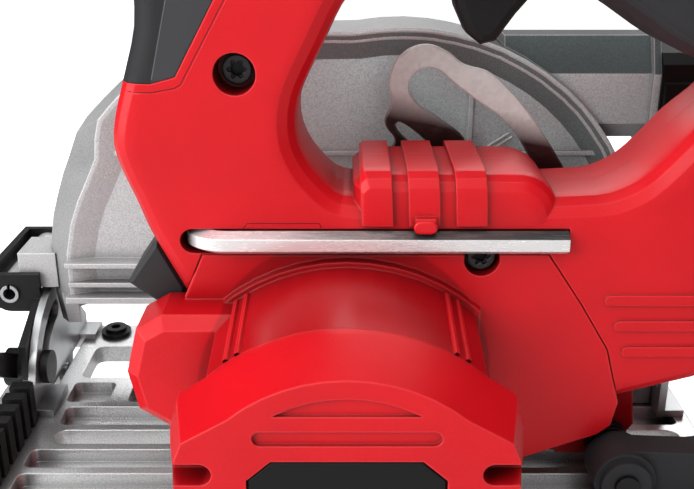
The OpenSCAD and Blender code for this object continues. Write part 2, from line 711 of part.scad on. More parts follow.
module motor_housing() color("#d3202a") difference() {
    union() {
        pillow(housing_outline, housing_y0, wall_y1, 0.5, 0, 1);
        // barrel, a little higher at its root
        loft([[barrel_y, barrel_outline], [housing_y0 + 6, inset(barrel_outline, -1.6)]]);
        loft([[housing_y0 - 3, inset(barrel_outline, -3.2)], [housing_y0 + 6, inset(barrel_outline, -4.5)]]);
        // angled boss at the front
        pillow(boss_outline, housing_y0 - 16, housing_y0 + 6, 4, 0, 1);
        // foot that carries the depth lock
        slab([[76, 26], [78, 13.5], [98, 13.5], [106, 26], [104, 43], [94.4, 41.8], [80, 41.8]], -20, wall_y1);
    }
    // stator bore and its front wall
    bar(0, motor_z, stator_r + 1.6, barrel_y - 1, wall_y0);
    bar(0, motor_z, 11, wall_y0 - 1, wall_y1 + 1);
    bar(lever_x, lever_z, bolt_r + fit, -40, 20);
    bar(lever_x, lever_z, 11, -40, -20);
    bar(screw_2[0], screw_2[1], recess_r - 0.7, handle_y0 - 1, handle_y0 + 7.2);
    bar(screw_2[0], screw_2[1], 2.4, handle_y0, handle_y0 + 30, 24);
    wrench_room();
    for (x = [-30, 30]) bar(x, 22.5, 1.6, barrel_y - 1, barrel_y + 16, 24);
}

module motor_cap() color("#dc2430") moulded() difference() {
    loft([
        [cap_y, cap_face], [barrel_y - 4, cap_outline], [barrel_y - seat, cap_outline]
    ]);
    // inside
    bar(0, motor_z, 28, cap_y + 5, barrel_y + 1);
    bar(0, motor_z, 11 + seat, cap_y + 4, cap_y + 6);
    // recesses on the face
    slab(concat(arc([0, 43.4], 41, 61.5, 118.5, 8), [[-20.3, 79], [20.3, 79]]), cap_y - 1, cap_y + 1);
    slot_y(-26, 26, 72, 2.2, cap_y - 1, cap_y + 1.2);
    slab(inset(panel_outline, -0.2), cap_y - 1, cap_y + 2);
    // side air slots with round inner ends
    for (z = [60.5, 47, 33.5]) {
        slot_y(cap_w - 14.4, cap_w + 8, z, 3.4, cap_y - 1, cap_y + 9);
        slot_y(-cap_w - 8, 14.4 - cap_w, z, 3.4, cap_y - 1, cap_y + 9);
    }
    for (x = [-30, 30]) {
        bar(x, 22.5, 1.6, cap_y - 1, barrel_y + 1, 24);
        bar(x, 22.5, 3.2, cap_y - 1, cap_y + 12, 24);
    }
}

panel_outline = [
    [-21, 64.6], [-27.8, 58.5], [-27.8, 38], [-21, 31.5], [21, 31.5], [27.8, 38], [27.8, 58.5], [21, 64.6]
];

module cap_panel() color("#161616") pillow(panel_outline, cap_y + 0.3, cap_y + 2 - seat, 0.6, 0, 1);

module cap_screws() color("#222222")
    for (x = [-30, 30]) screw(x, 22.5, cap_y + 9.3, 3, 2.6, 1.5, 22);

module stator() color("#8c5a3c") difference() {
    union() {
        bar(0, motor_z, stator_r, -68, -26);
        bar(0, motor_z, stator_r + 1.5, -58, -36);
    }
    bar(0, motor_z, rotor_r + 1, -70, -20);
    for (i = [0:5])
        translate([0, 0, motor_z]) rotate([0, 60 * i, 0])
            box([rotor_r - 2, -70, -2.5], [rotor_r + 10, -20, 2.5]);
}

module motor_bearings() color("silver") {
    difference() {
        bar(0, motor_z, 11 - seat, wall_y0 - 0.5, wall_y1 - seat);
        bar(0, motor_z, 4 + fit, wall_y0 - 2, wall_y1 + 1);
    }
    difference() {
        bar(0, motor_z, 11, cap_y + 5 + seat, cap_y + 12);
        bar(0, motor_z, 4 + fit, cap_y + 3, cap_y + 13);
    }
}

module rotor_shaft() color("silver") {
    bar(0, motor_z, 4, cap_y + 6, gear_y0 + 0.01);
    gear(pinion_teeth, 0, motor_z, gear_angle + 180 + 180 / pinion_teeth + 180, gear_y0, gear_y1);
}

module rotor_core() color("#777c80") difference() {
    bar(0, motor_z, rotor_r, -66, -28);
    bar(0, motor_z, 4 + seat, -70, -20);
    for (i = [0:3])
        translate([0, 0, motor_z]) rotate([0, 45 + 90 * i, 0])
            box([rotor_r - 4, -70, -5], [rotor_r - 2, -20, 5]);
}

module cooling_fan() color("#2a2a2a") difference() {
    union() {
        bar(0, motor_z, 33, -12, -9.5);
        bar(0, motor_z, 8, -20, -9.5);
        for (i = [0:10])
            translate([0, 0, motor_z]) rotate([0, 360 / 11 * i, 0]) translate([18, 0, 0]) rotate([0, 25, 0])
                box([-11, -21, -0.8], [13, -11, 0.8]);
    }
    bar(0, motor_z, 4 + seat, -25, -5);
}

// ---------- gear train and blade ----------

pressure = 25;
function inv(a) = tan(a) * 180 / PI - a;
function roll(r, base) = r > base ? inv(acos(base / r)) : 0;

// Involute gear with its first tooth at angle `turn` in the [x, z] plane.
module gear(teeth, cx, cz, turn, y0, y1) {
    pitch = gear_module * teeth / 2;
    base = pitch * cos(pressure);
    outer = pitch + 0.8 * gear_module;
    root = pitch - 1.05 * gear_module;
    backlash = 0.09;
    half = 90 / teeth - backlash / pitch * 90 / PI + inv(pressure);
    radii = [for (i = [0:3]) let (low = max(base, root)) low + (outer - low) * i / 3];
    points = [
        for (k = [0:teeth - 1]) let (mid = turn + 360 * k / teeth)
            each concat(
                [[root, mid - half - (base > root ? 0.4 : 0)]],
                [for (r = radii) [r, mid - half + roll(r, base)]],
                [for (i = [3:-1:0]) [radii[i], mid + half - roll(radii[i], base)]],
                [[root, mid + half + (base > root ? 0.4 : 0)]])
    ];
    slab([for (p = points) [cx, cz] + p[0] * [cos(p[1]), sin(p[1])]], y0, y1);
}

module drive_gear() color("silver") difference() {
    gear(gear_teeth, arbor_x, arbor_z, gear_angle + 180, gear_y0, gear_y1);
    bar(arbor_x, arbor_z, 8 + seat, gear_y0 - 1, gear_y1 + 1);
}

module spindle() color("silver") difference() {
    union() {
        bar(arbor_x, arbor_z, 5, case_y0 + 1.4, gear_y0);
        bar(arbor_x, arbor_z, 8, gear_y0 - 0.01, flange_y0);
        bar(arbor_x, arbor_z, arbor_r - 0.05, flange_y0 - 0.01, blade_y + blade_t / 2 + 1.6);
    }
    bar(arbor_x, arbor_z, 4, flange_y0 - 14, blade_y + 8);
}

module spindle_bearings() color("silver") {
    difference() {
        bar(arbor_x, arbor_z, 10 - seat, case_y0 + 0.9, gear_y0 - 0.5);
        bar(arbor_x, arbor_z, 5 + fit, case_y0, gear_y0 + 1);
    }
    difference() {
        bar(arbor_x, arbor_z, 15 - seat, gear_y1 + 3.4, gear_y1 + 14.8);
        bar(arbor_x, arbor_z, 8 + fit, gear_y1 + 2, gear_y1 + 16);
    }
}

module inner_flange() color("dimgray") difference() {
    bar(arbor_x, arbor_z, flange_r, flange_y0, blade_y - blade_t / 2 - seat);
    bar(arbor_x, arbor_z, arbor_r, flange_y0 - 1, blade_y);
}

module outer_flange() color("dimgray") difference() {
    bar(arbor_x, arbor_z, flange_r, blade_y + blade_t / 2 + seat, blade_y + blade_t / 2 + 4);
    bar(arbor_x, arbor_z, arbor_r, blade_y, blade_y + blade_t / 2 + 1.7);
    bar(arbor_x, arbor_z, 4 + fit, blade_y, blade_y + 8);
}

module blade_bolt() color("#202020") difference() {
    union() {
        bar(arbor_x, arbor_z, 4 - seat, flange_y0 - 13, blade_y + blade_t / 2 + 4.05);
        bar(arbor_x, arbor_z, 9, blade_y + blade_t / 2 + 4.05, blade_y + blade_t / 2 + 10);
    }
    bar(arbor_x, arbor_z, hex_af / sqrt(3) + 0.1, blade_y + blade_t / 2 + 5, blade_y + blade_t / 2 + 11, 6);
}

// Toothed plate: hooked carbide tips, round gullets and four expansion slots.
module blade() color("gainsboro") {
    step = 360 / blade_teeth;
    body_r = blade_r - 1.2;
    outline = [
        for (i = [0:blade_teeth - 1]) let (a = i * step)
            each [
                [body_r, a], [body_r - 7, a + 2.2 * 24 / blade_teeth], [body_r - 9, a + 3.8 * 24 / blade_teeth],
                [body_r - 7.5, a + 5.6 * 24 / blade_teeth], [body_r - 3.5, a + 8 * 24 / blade_teeth],
                [body_r - 1.2, a + 11.5 * 24 / blade_teeth]
            ]
    ];
    difference() {
        slab([for (p = outline) [arbor_x, arbor_z] + p[0] * [cos(p[1]), sin(p[1])]],
            blade_y - blade_t / 2, blade_y + blade_t / 2);
        bar(arbor_x, arbor_z, arbor_r, blade_y - 2, blade_y + 2);
        for (i = [0:3])
            translate([arbor_x, 0, arbor_z]) rotate([0, 90 * i + 20, 0]) {
                box([blade_r - 24, blade_y - 2, -0.5], [blade_r - 7, blade_y + 2, 0.5]);
                bar(blade_r - 24, 0, 1.8, blade_y - 2, blade_y + 2, 24);
            }
    }
    // carbide tips, wider than the plate
    for (i = [0:blade_teeth - 1])
        translate([arbor_x, 0, arbor_z]) rotate([0, -i * step, 0])
            slab([[blade_r - 7, -0.5], [blade_r, 0.35], [blade_r - 0.6, -1.9], [blade_r - 6.4, -2.2]],
                blade_y - blade_t / 2 - 0.35, blade_y + blade_t / 2 + 0.35);
}

// ---------- lower guard ----------

lower_a0 = 183;
lower_a1 = 362;
lower_range = 115;

module lower_guard() color("silver") {
    // motor-side wall with its hub
    difference() {
        union() {
            ring_sector(30, lower_r, lower_a0, lower_a1, lower_y0, lower_y0 + lower_t);
            bar(arbor_x, arbor_z, 31, lower_y0, lower_y0 + lower_t);
        }
        bar(arbor_x, arbor_z, nose_r + fit, lower_y0 - 1, lower_y0 + 3);
    }
    // blade-side wall
    ring_sector(33, lower_r, lower_a0, lower_a1, lower_y1 - lower_t, lower_y1);
    // rim
    ring_sector(lower_r - lower_t, lower_r, lower_a0, lower_a1, lower_y0 + lower_t, lower_y1 - lower_t);
}

module guard_lever() color("#222222") {
    translate([arbor_x, 0, arbor_z]) rotate([0, -lower_a1 + 5, 0]) {
        box([40, lower_y1 + seat, -9], [76, lower_y1 + 2.2, -1]);
        box([66, lower_y1 + 2, -9], [76, lower_y1 + 3.6, -1]);
    }
}

module guard_retainer() color("dimgray") difference() {
    bar(arbor_x, arbor_z, 21, lower_y0 + lower_t + 0.25, nose_y - 0.2);
    bar(arbor_x, arbor_z, nose_r + seat, lower_y0, nose_y + 1);
    box([arbor_x - 1.5, lower_y0, arbor_z + 10], [arbor_x + 1.5, nose_y + 1, arbor_z + 30]);
}

module guard_spring() color("#555555")
    for (i = [0:1])
        translate([arbor_x, case_y1 - 2 - 2.3 * i, arbor_z]) rotate([90, 0, 0])
            rotate_extrude($fn = 64) translate([spring_r, 0]) circle(r = 1.1, $fn = 16);

// ---------- handle ----------

front_skin_area = [
    [-90, 155.4], [-60.5, 155.4], [-52.8, 157.5], [-38, 184], [-36, 200], [-20, 212], [-8, 232], [-8, 250], [-90, 250]
];
rear_skin_area = [
    [62, 250], [58, 214], [61, 196], [72, 178], [90, 160], [116, 152], [140, 152], [200, 155], [214, 152], [240, 170], [240, 250]
];

screw_1 = [-34.6, 158.4];
screw_3 = [216, 138];

module skin_zone(area, y0, y1, r0, r1) difference() {
    slab(area, y0 - 5, y1 + 5);
    pillow(inset(handle_outline, skin_t), y0 + (r0 > 0 ? skin_t : -6), y1 - (r1 > 0 ? skin_t : -6),
        r0 > 0 ? r0 - 1 : 0, r1 > 0 ? r1 - 1 : 0);
}

module handle_solid(y0, y1, r0, r1) difference() {
    union() {
        difference() {
            pillow(handle_outline, y0, y1, r0, r1, 4);
            flare(loop_outline, y0, y1, r0 > 0 ? r0 + 2 : 0, r1 > 0 ? r1 + 2 : 0, 4);
        }
        pillow(hump_outline, y0, y1, r0, r1, 4);
        // raised bands over the hump, rearmost leaning most
        for (i = [0:2])
            intersection() {
                pillow(inset(hump_outline, -1.7), y0 - (r0 > 0 ? 1.7 : 0), y1 + (r1 > 0 ? 1.7 : 0), r0, r1, 4);
                slab([for (p = [[0, 109.5], [10, 109.5], [8.6, 140], [-1.5, 140]]) p + [5 + 15.2 * i, 0]], y0 - 5, y1 + 5);
            }
    }
    // the motor housing's outline, with its seam
    slab(inset(housing_outline, -0.15), y0 - 5, y1 + 5);
    for (p = [screw_1, screw_2]) bar(p[0], p[1], 2.4, y0 - 1, y1 + 1, 24);
}

module handle_left() color("#da2331") moulded() difference() {
    union() {
        difference() {
            handle_solid(handle_y0, mid_y, handle_round, 0);
            skin_zone(front_skin_area, handle_y0, mid_y, handle_round, 0);
            skin_zone(rear_skin_area, handle_y0, mid_y, handle_round, 0);
        }
        // three ribs across the rear arm
        for (r = [[86, 82.8], [90, 73.4], [93.5, 63.7]])
            slot_y(r[0], 126, r[1], 1.9, handle_y0 - 0.9, handle_y0 + 2);
        // clip that holds the wrench
        box([22, handle_y0 - 4, wrench_z + hex_r + 0.2], [28.6, handle_y0 + 4, wrench_z + hex_r + 5]);
    }
    bar(screw_1[0], screw_1[1], recess_r, handle_y0 - 1, handle_y0 + 13);
    bar(screw_2[0], screw_2[1], recess_r - 0.7, handle_y0 - 1, handle_y0 + 7.2);
    wrench_room();
    handle_rooms();
}

module handle_right() color("#d3202c") moulded() difference() {
    handle_solid(mid_y + seat, handle_y1, 0, handle_round);
    skin_zone(front_skin_area, mid_y, handle_y1, 0, handle_round);
    skin_zone(rear_skin_area, mid_y, handle_y1, 0, handle_round);
    handle_rooms();
}

// Channel along the left face where the wrench snaps in.
module wrench_room() {
    clear = hex_r + 0.2;
    box([wrench_bend, handle_y0 - 20, wrench_z - clear], [wrench_x1 + 0.6, wrench_y + clear, wrench_z + clear]);
    slot_y(wrench_bend - hex_r - 5.5, wrench_bend + 9, wrench_z, clear, handle_y0 - 20, wrench_y + wrench_leg + 1);
}

// Rooms for the trigger, the switch, the electronics and the battery terminals.
module handle_rooms() {
    box([20, mid_y - 9, 178], [trigger_x + 6, mid_y + 9, 197]);
    box([22, mid_y - 10, 196.9], [58, mid_y + 10, 214]);
    bar(20, 215, 6.2, mid_y - 40, mid_y + 40, 32);
    box([100, mid_y - 14, 70], [125, mid_y + 14, 112]);
    box([140, mid_y - 16, foot_z - 1], [172, mid_y + 16, foot_z + 12]);
    rail_room();
    bar(hook_x, hook_z, 3, -10, 20);
}

module rail_room() {
    for (y = [mid_y - rail_w / 2 - 5, mid_y + rail_w / 2])
        box([pack_x - 2, y - 0.5, foot_z + 4], [240, y + 5.5, foot_z + 9]);
    box([pack_x - 2, mid_y - rail_w / 2, foot_z - 1], [240, mid_y + rail_w / 2, foot_z + 9]);
}

module skin(area) moulded() {
    intersection() {
        union() {
            intersection() {
                difference() {
                    pillow(handle_outline, handle_y0, handle_y1, handle_round, handle_round, 4);
                    flare(loop_outline, handle_y0, handle_y1, handle_round + 2, handle_round + 2, 4);
                }
                slab(inset(area, 0.15), handle_y0 - 1, handle_y1 + 1);
            }
        }
        difference() {
            slab(area, handle_y0 - 1, handle_y1 + 1);
            pillow(inset(handle_outline, skin_t - seat), handle_y0 + skin_t - seat, handle_y1 - skin_t + seat,
                handle_round - 1, handle_round - 1);
        }
    }
}

module front_grip_skin() color("#2b2c2e") skin(front_skin_area);

module rear_grip_skin() color("#3a3a3c") skin(rear_skin_area);

module handle_screws() color("#151515") {
    screw(screw_1[0], screw_1[1], handle_y0 + 9, 4.9, 4 - seat, 2.2, 24);
    screw(screw_2[0], screw_2[1], handle_y0 + 3.4, 4.9, 3.8 - seat, 2.2, 20);
}

module switch_unit() color("#2a2a2a") {
    box([30, mid_y - 9, 202.4], [57, mid_y + 9, 213.6]);
    box([35, mid_y - 2, 201.6], [41, mid_y + 2, 202.6]);
}

module control_board() color("#1d5a34") box([100 + seat, mid_y - 13, 72], [104, mid_y + 13, 110]);

module terminal_block() color("#101010") {
    box([142, mid_y - 15, foot_z + 2], [170, mid_y + 15, foot_z + 11.8]);
    for (y = [-10, -3, 3, 10])
        box([150, mid_y + y - 0.5, foot_z - 3], [162, mid_y + y + 0.5, foot_z + 3]);
}

module trigger() color("#1f1f20") difference() {
    union() {
        pillow([[32.5, 193], [32.6, 184], [34.4, 176], [38, 168.4], [42.6, 164.8], [47.4, 166], [53.4, 174.5],
            [58.5, 180.5], [70, 188], [70, 195.5], [60, 195.5]], mid_y - 8.4, mid_y + 8.4, 3, 3, 2);
    }
    bar(trigger_x, trigger_z, 1.5, mid_y - 20, mid_y + 20, 24);
}

module lock_off_button() color("#1f1f20") {
    bar(20, 215, 6.2 - 0.1, handle_y0 + 1.5, handle_y1 - 1.5, 32);
}

module led_housing() color("#303134") difference() {
    pillow([[-63.6, 102], [-74.8, 86], [-59, 74.2], [-55.2, 77.6], [-54.9, 84.2], [-62.6, 99.6]], -28, 2, 1.4, 1.4, 1);
    translate([-67.6, mid_y, 79.4]) rotate([0, -143, 0]) cylinder(r = 5, h = 12, center = true);
}

module led_lens() color("white")
    translate([-67.6, mid_y, 79.4]) rotate([0, -143, 0]) cylinder(r = 5 - seat, h = 2.4);

module dust_adapter() color("#1d1d1e") difference() {
    union() {
        cross_sheet([[44, 114], [44, 147], [48, 151], [76, 151], [80, 147], [80, 114], [76, 110], [48, 110]], chute_x1 + seat, 146);
        box([124, 41.5, 122], [143, 44.1, 140]);
        rod(62, 131, port_r, 146 - 0.01, 172);
    }
    rod(62, 131, port_r - port_wall, chute_x1 - 1, 173);
    cross_sheet([[55.5, 124], [55.5, 141], [58.5, 144.5], [65.5, 144.5], [68.5, 141], [68.5, 124], [65, 120.5], [59, 120.5]], chute_x1 - 1, 130);
}

module dust_adapter_screw() color("#3c3c3c") difference() {
    bar(131.5, 131, 3.2, 38.9, 41.5 - seat, 32);
    bar(131.5, 131, 1.7, 38, 40.9, 6);
}

// ---------- depth lock, wrench, hook ----------

module depth_bolt() color("#101010") {
    bar(lever_x, lever_z, bolt_r, -52, bracket_y + plate_t + 0.3);
    bar(lever_x, lever_z, 8, bracket_y + plate_t + 0.3, bracket_y + plate_t + 4.5, 32);
    difference() {
        bar(lever_x, lever_z, 8, -32.4, -20 - seat);
        for (i = [0:3]) difference() {
            bar(lever_x, lever_z, 9, -31.5 + 3 * i, -30 + 3 * i);
            bar(lever_x, lever_z, 7, -33 + 3 * i, -29 + 3 * i);
        }
    }
}

module depth_lever() color("#19191a") difference() {
    union() {
        bar(lever_x, lever_z, 10.6, -48, -32.6);
        bar(lever_x, lever_z, 8.6, -50.5, -47.9);
        slab([[lever_x, lever_z + 10.4], [lever_x + 24, lever_z + 9.4], [lever_x + 62, lever_z + 15],
              [lever_x + 68, lever_z + 10], [lever_x + 66, lever_z + 1], [lever_x + 26, lever_z - 7],
              [lever_x + 4, lever_z - 10]], -45.5, -34.5);
    }
    bar(lever_x, lever_z, bolt_r + fit, -60, -30);
}

module hex_wrench() color("silver") {
    translate([wrench_bend + bend_r, wrench_y, wrench_z]) rotate([0, 90, 0])
        cylinder(r = hex_r, h = wrench_x1 - wrench_bend - bend_r, $fn = 6);
    // bend and short leg, towards the blade
    translate([wrench_bend + bend_r, wrench_y + bend_r, wrench_z]) rotate([0, 0, 180])
        rotate_extrude(angle = 90) translate([bend_r, 0]) rotate(30) circle(r = hex_r, $fn = 6);
    translate([wrench_bend, wrench_y + bend_r, wrench_z]) rotate([-90, 0, 0]) rotate(30)
        cylinder(r = hex_r, h = wrench_leg - bend_r, $fn = 6);
}

hook_path = [
    [9, 103], [9, 112], [9.2, 119.5], [13.4, 126.5], [14.6, 132], [13.2, 139], [14, 146.5], [18, 153.5], [23.5, 157.6],
    [29.5, 158.4], [35.2, 156.6], [40.5, 151.6], [45, 147.8], [56.5, 143.4], [63, 138], [72, 127], [81, 114],
    [89, 102], [92, 94], [90, 88], [84, 86], [78, 88], [74.5, 94], [69.7, 102.6], [60, 116.5], [47.2, 134.2], [38, 144.6],
    [33, 148.4], [27.6, 148.6], [23.6, 145.4], [22.6, 138.6], [23.6, 129.5], [30, 122], [33, 110], [31, 98], [22, 92], [13, 94]
];

module rafter_hook() color("#9b948a") moulded() difference() {
    pillow(soft(reversed(hook_path), 3.5), hook_y, hook_y + hook_t, 0.9, 0.9, 2);
    bar(hook_x, hook_z, 4 + fit, hook_y - 1, hook_y + hook_t + 1);
}

module hook_pin() color("dimgray") {
    bar(hook_x, hook_z, 3 - seat, -9.5, handle_y1 + 1);
    bar(hook_x, hook_z, 4, handle_y1 + 0.5, hook_y + hook_t + 0.5);
    bar(hook_x, hook_z, 6, hook_y + hook_t + 0.3, hook_y + hook_t + 3);
    bar(hook_x, hook_z, 6, handle_y1 + seat, hook_y - 0.3);
}

// Spindle lock, pressed towards the rim of the spindle gear.
module on_lock_line() translate([arbor_x, gear_y0 + gear_w / 2, arbor_z]) rotate([0, 90 - lock_a, 0]) children();

module spindle_lock() color("#19191a") on_lock_line() {
    translate([0, 0, 24]) cylinder(r = 2.5, h = 14);
    translate([0, 0, 37.4]) cylinder(r = 5.5, h = 3.4);
    translate([0, 0, 40.8]) cylinder(r1 = 5.5, r2 = 4.7, h = 0.8);
}

// ---------- battery ----------

module battery_case() color("#c91f2b") difference() {
    union() {
        pillow([[pack_x, foot_z - pack_h], [pack_x + pack_len, foot_z - pack_h], [pack_x + pack_len, foot_z - 0.4],
            [pack_x, foot_z - 0.4]], mid_y - pack_w / 2, mid_y + pack_w / 2, 5, 5, 2);
        box([pack_x + 2, mid_y - rail_w / 2 + gap, foot_z - 1], [218, mid_y + rail_w / 2 - gap, foot_z + 8.4]);
        box([pack_x + 2, mid_y - rail_w / 2 - 5, foot_z + 4.3], [218, mid_y + rail_w / 2 + 5, foot_z + 8.4]);
    }
    box([pack_x + 5, mid_y - 33, foot_z - pack_h + 4], [pack_x + pack_len - 5, mid_y + 33, foot_z - 15.1]);
    box([pack_x + 5, mid_y - 33, foot_z - 16], [latch_x - 3, mid_y + 33, foot_z - 8]);
    box([pack_x - 1, mid_y - 17, foot_z - 6], [230, mid_y + 17, foot_z + 10]);
    // well of the release catch
    box([latch_x - 0.4, mid_y - 12.4, foot_z - 14], [latch_x + 9, mid_y + 12.4, foot_z + 1]);
}

module battery_cells() color("#3b6ea8")
    for (i = [0:cells_long - 1], j = [0:1])
        bar(pack_x + pack_len / 2 + cell_pitch * (i - (cells_long - 1) / 2), foot_z - pack_h + 14 + cell_pitch * j,
            9.2, mid_y - 32.6, mid_y + 32.6, 32);

module battery_latch() color("#18181a")
    box([latch_x, mid_y - 12, foot_z - 9.5], [latch_x + 8.6, mid_y + 12, foot_z + 4]);

// ---------- node table ----------

shoe();
front_quadrant();
rear_quadrant();
bevel_pins();
shoe_end_cap();
stop_screw();
front_bracket();
depth_bracket();
depth_pivot_pin();
bevel_bolt();
bevel_lever();
upper_guard();
gearcase();
gearcase_screws();
motor_housing();
motor_cap();
cap_panel();
cap_screws();
stator();
motor_bearings();
spindle_bearings();
handle_left();
handle_right();
front_grip_skin();
rear_grip_skin();
handle_screws();
switch_unit();
control_board();
terminal_block();
dust_adapter();
dust_adapter_screw();
led_housing();
led_lens();
hook_pin();
guard_spring();
guard_retainer();
depth_bolt();
depth_lever();
trigger();
lock_off_button();
spindle_lock();
rafter_hook();
hex_wrench();
lower_guard();
guard_lever();
blade();
inner_flange();
outer_flange();
blade_bolt();
spindle();
drive_gear();
rotor_shaft();
rotor_core();
cooling_fan();
battery_case();
battery_cells();
battery_latch();
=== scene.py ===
"""Circular saw: surface finishes, fine detail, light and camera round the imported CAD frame."""

import json
import math

import bmesh
import bpy
from mathutils import Matrix, Vector
from mathutils.bvhtree import BVHTree

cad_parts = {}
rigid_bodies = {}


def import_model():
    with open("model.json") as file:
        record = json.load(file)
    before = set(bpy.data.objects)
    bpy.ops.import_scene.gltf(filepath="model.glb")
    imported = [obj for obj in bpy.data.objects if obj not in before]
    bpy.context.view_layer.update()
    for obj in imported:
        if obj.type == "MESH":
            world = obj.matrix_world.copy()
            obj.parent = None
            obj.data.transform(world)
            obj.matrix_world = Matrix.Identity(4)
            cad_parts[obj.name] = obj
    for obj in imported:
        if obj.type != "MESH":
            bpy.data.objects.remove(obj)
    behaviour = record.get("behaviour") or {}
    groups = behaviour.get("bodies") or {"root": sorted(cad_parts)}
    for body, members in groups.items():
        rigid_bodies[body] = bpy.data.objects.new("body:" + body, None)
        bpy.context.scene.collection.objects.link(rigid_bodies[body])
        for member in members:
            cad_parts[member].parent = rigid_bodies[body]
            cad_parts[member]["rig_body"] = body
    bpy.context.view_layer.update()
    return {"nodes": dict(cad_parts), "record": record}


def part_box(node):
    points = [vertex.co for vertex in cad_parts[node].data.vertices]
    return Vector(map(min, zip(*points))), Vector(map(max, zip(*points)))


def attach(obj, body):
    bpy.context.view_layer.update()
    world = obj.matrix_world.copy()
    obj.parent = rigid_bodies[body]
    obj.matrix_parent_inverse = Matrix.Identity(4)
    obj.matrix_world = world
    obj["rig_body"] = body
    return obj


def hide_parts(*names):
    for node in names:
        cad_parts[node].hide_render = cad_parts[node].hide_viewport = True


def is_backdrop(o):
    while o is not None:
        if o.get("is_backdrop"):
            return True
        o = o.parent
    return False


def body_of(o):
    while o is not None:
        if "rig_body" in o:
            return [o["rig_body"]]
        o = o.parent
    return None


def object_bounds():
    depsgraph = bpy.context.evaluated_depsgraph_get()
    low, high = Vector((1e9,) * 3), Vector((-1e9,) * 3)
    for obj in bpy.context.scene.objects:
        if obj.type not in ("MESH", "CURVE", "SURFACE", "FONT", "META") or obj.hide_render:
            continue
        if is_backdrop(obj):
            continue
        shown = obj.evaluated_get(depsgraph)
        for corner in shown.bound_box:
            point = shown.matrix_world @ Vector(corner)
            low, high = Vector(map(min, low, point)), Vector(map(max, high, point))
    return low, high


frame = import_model()
NODES = frame["nodes"]
SUBPARTS = frame["record"]["subparts"]
MM = 0.001


def middle_of(node):
    """Centre of a CAD node's box, in metres."""
    low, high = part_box(node)
    return tuple((low + high) / 2)


# points on the blade's and the motor's axes, which both run along Y
ARBOR = middle_of("inner_flange")
MOTOR = middle_of("rotor_shaft")


# ---------- shader helpers ----------

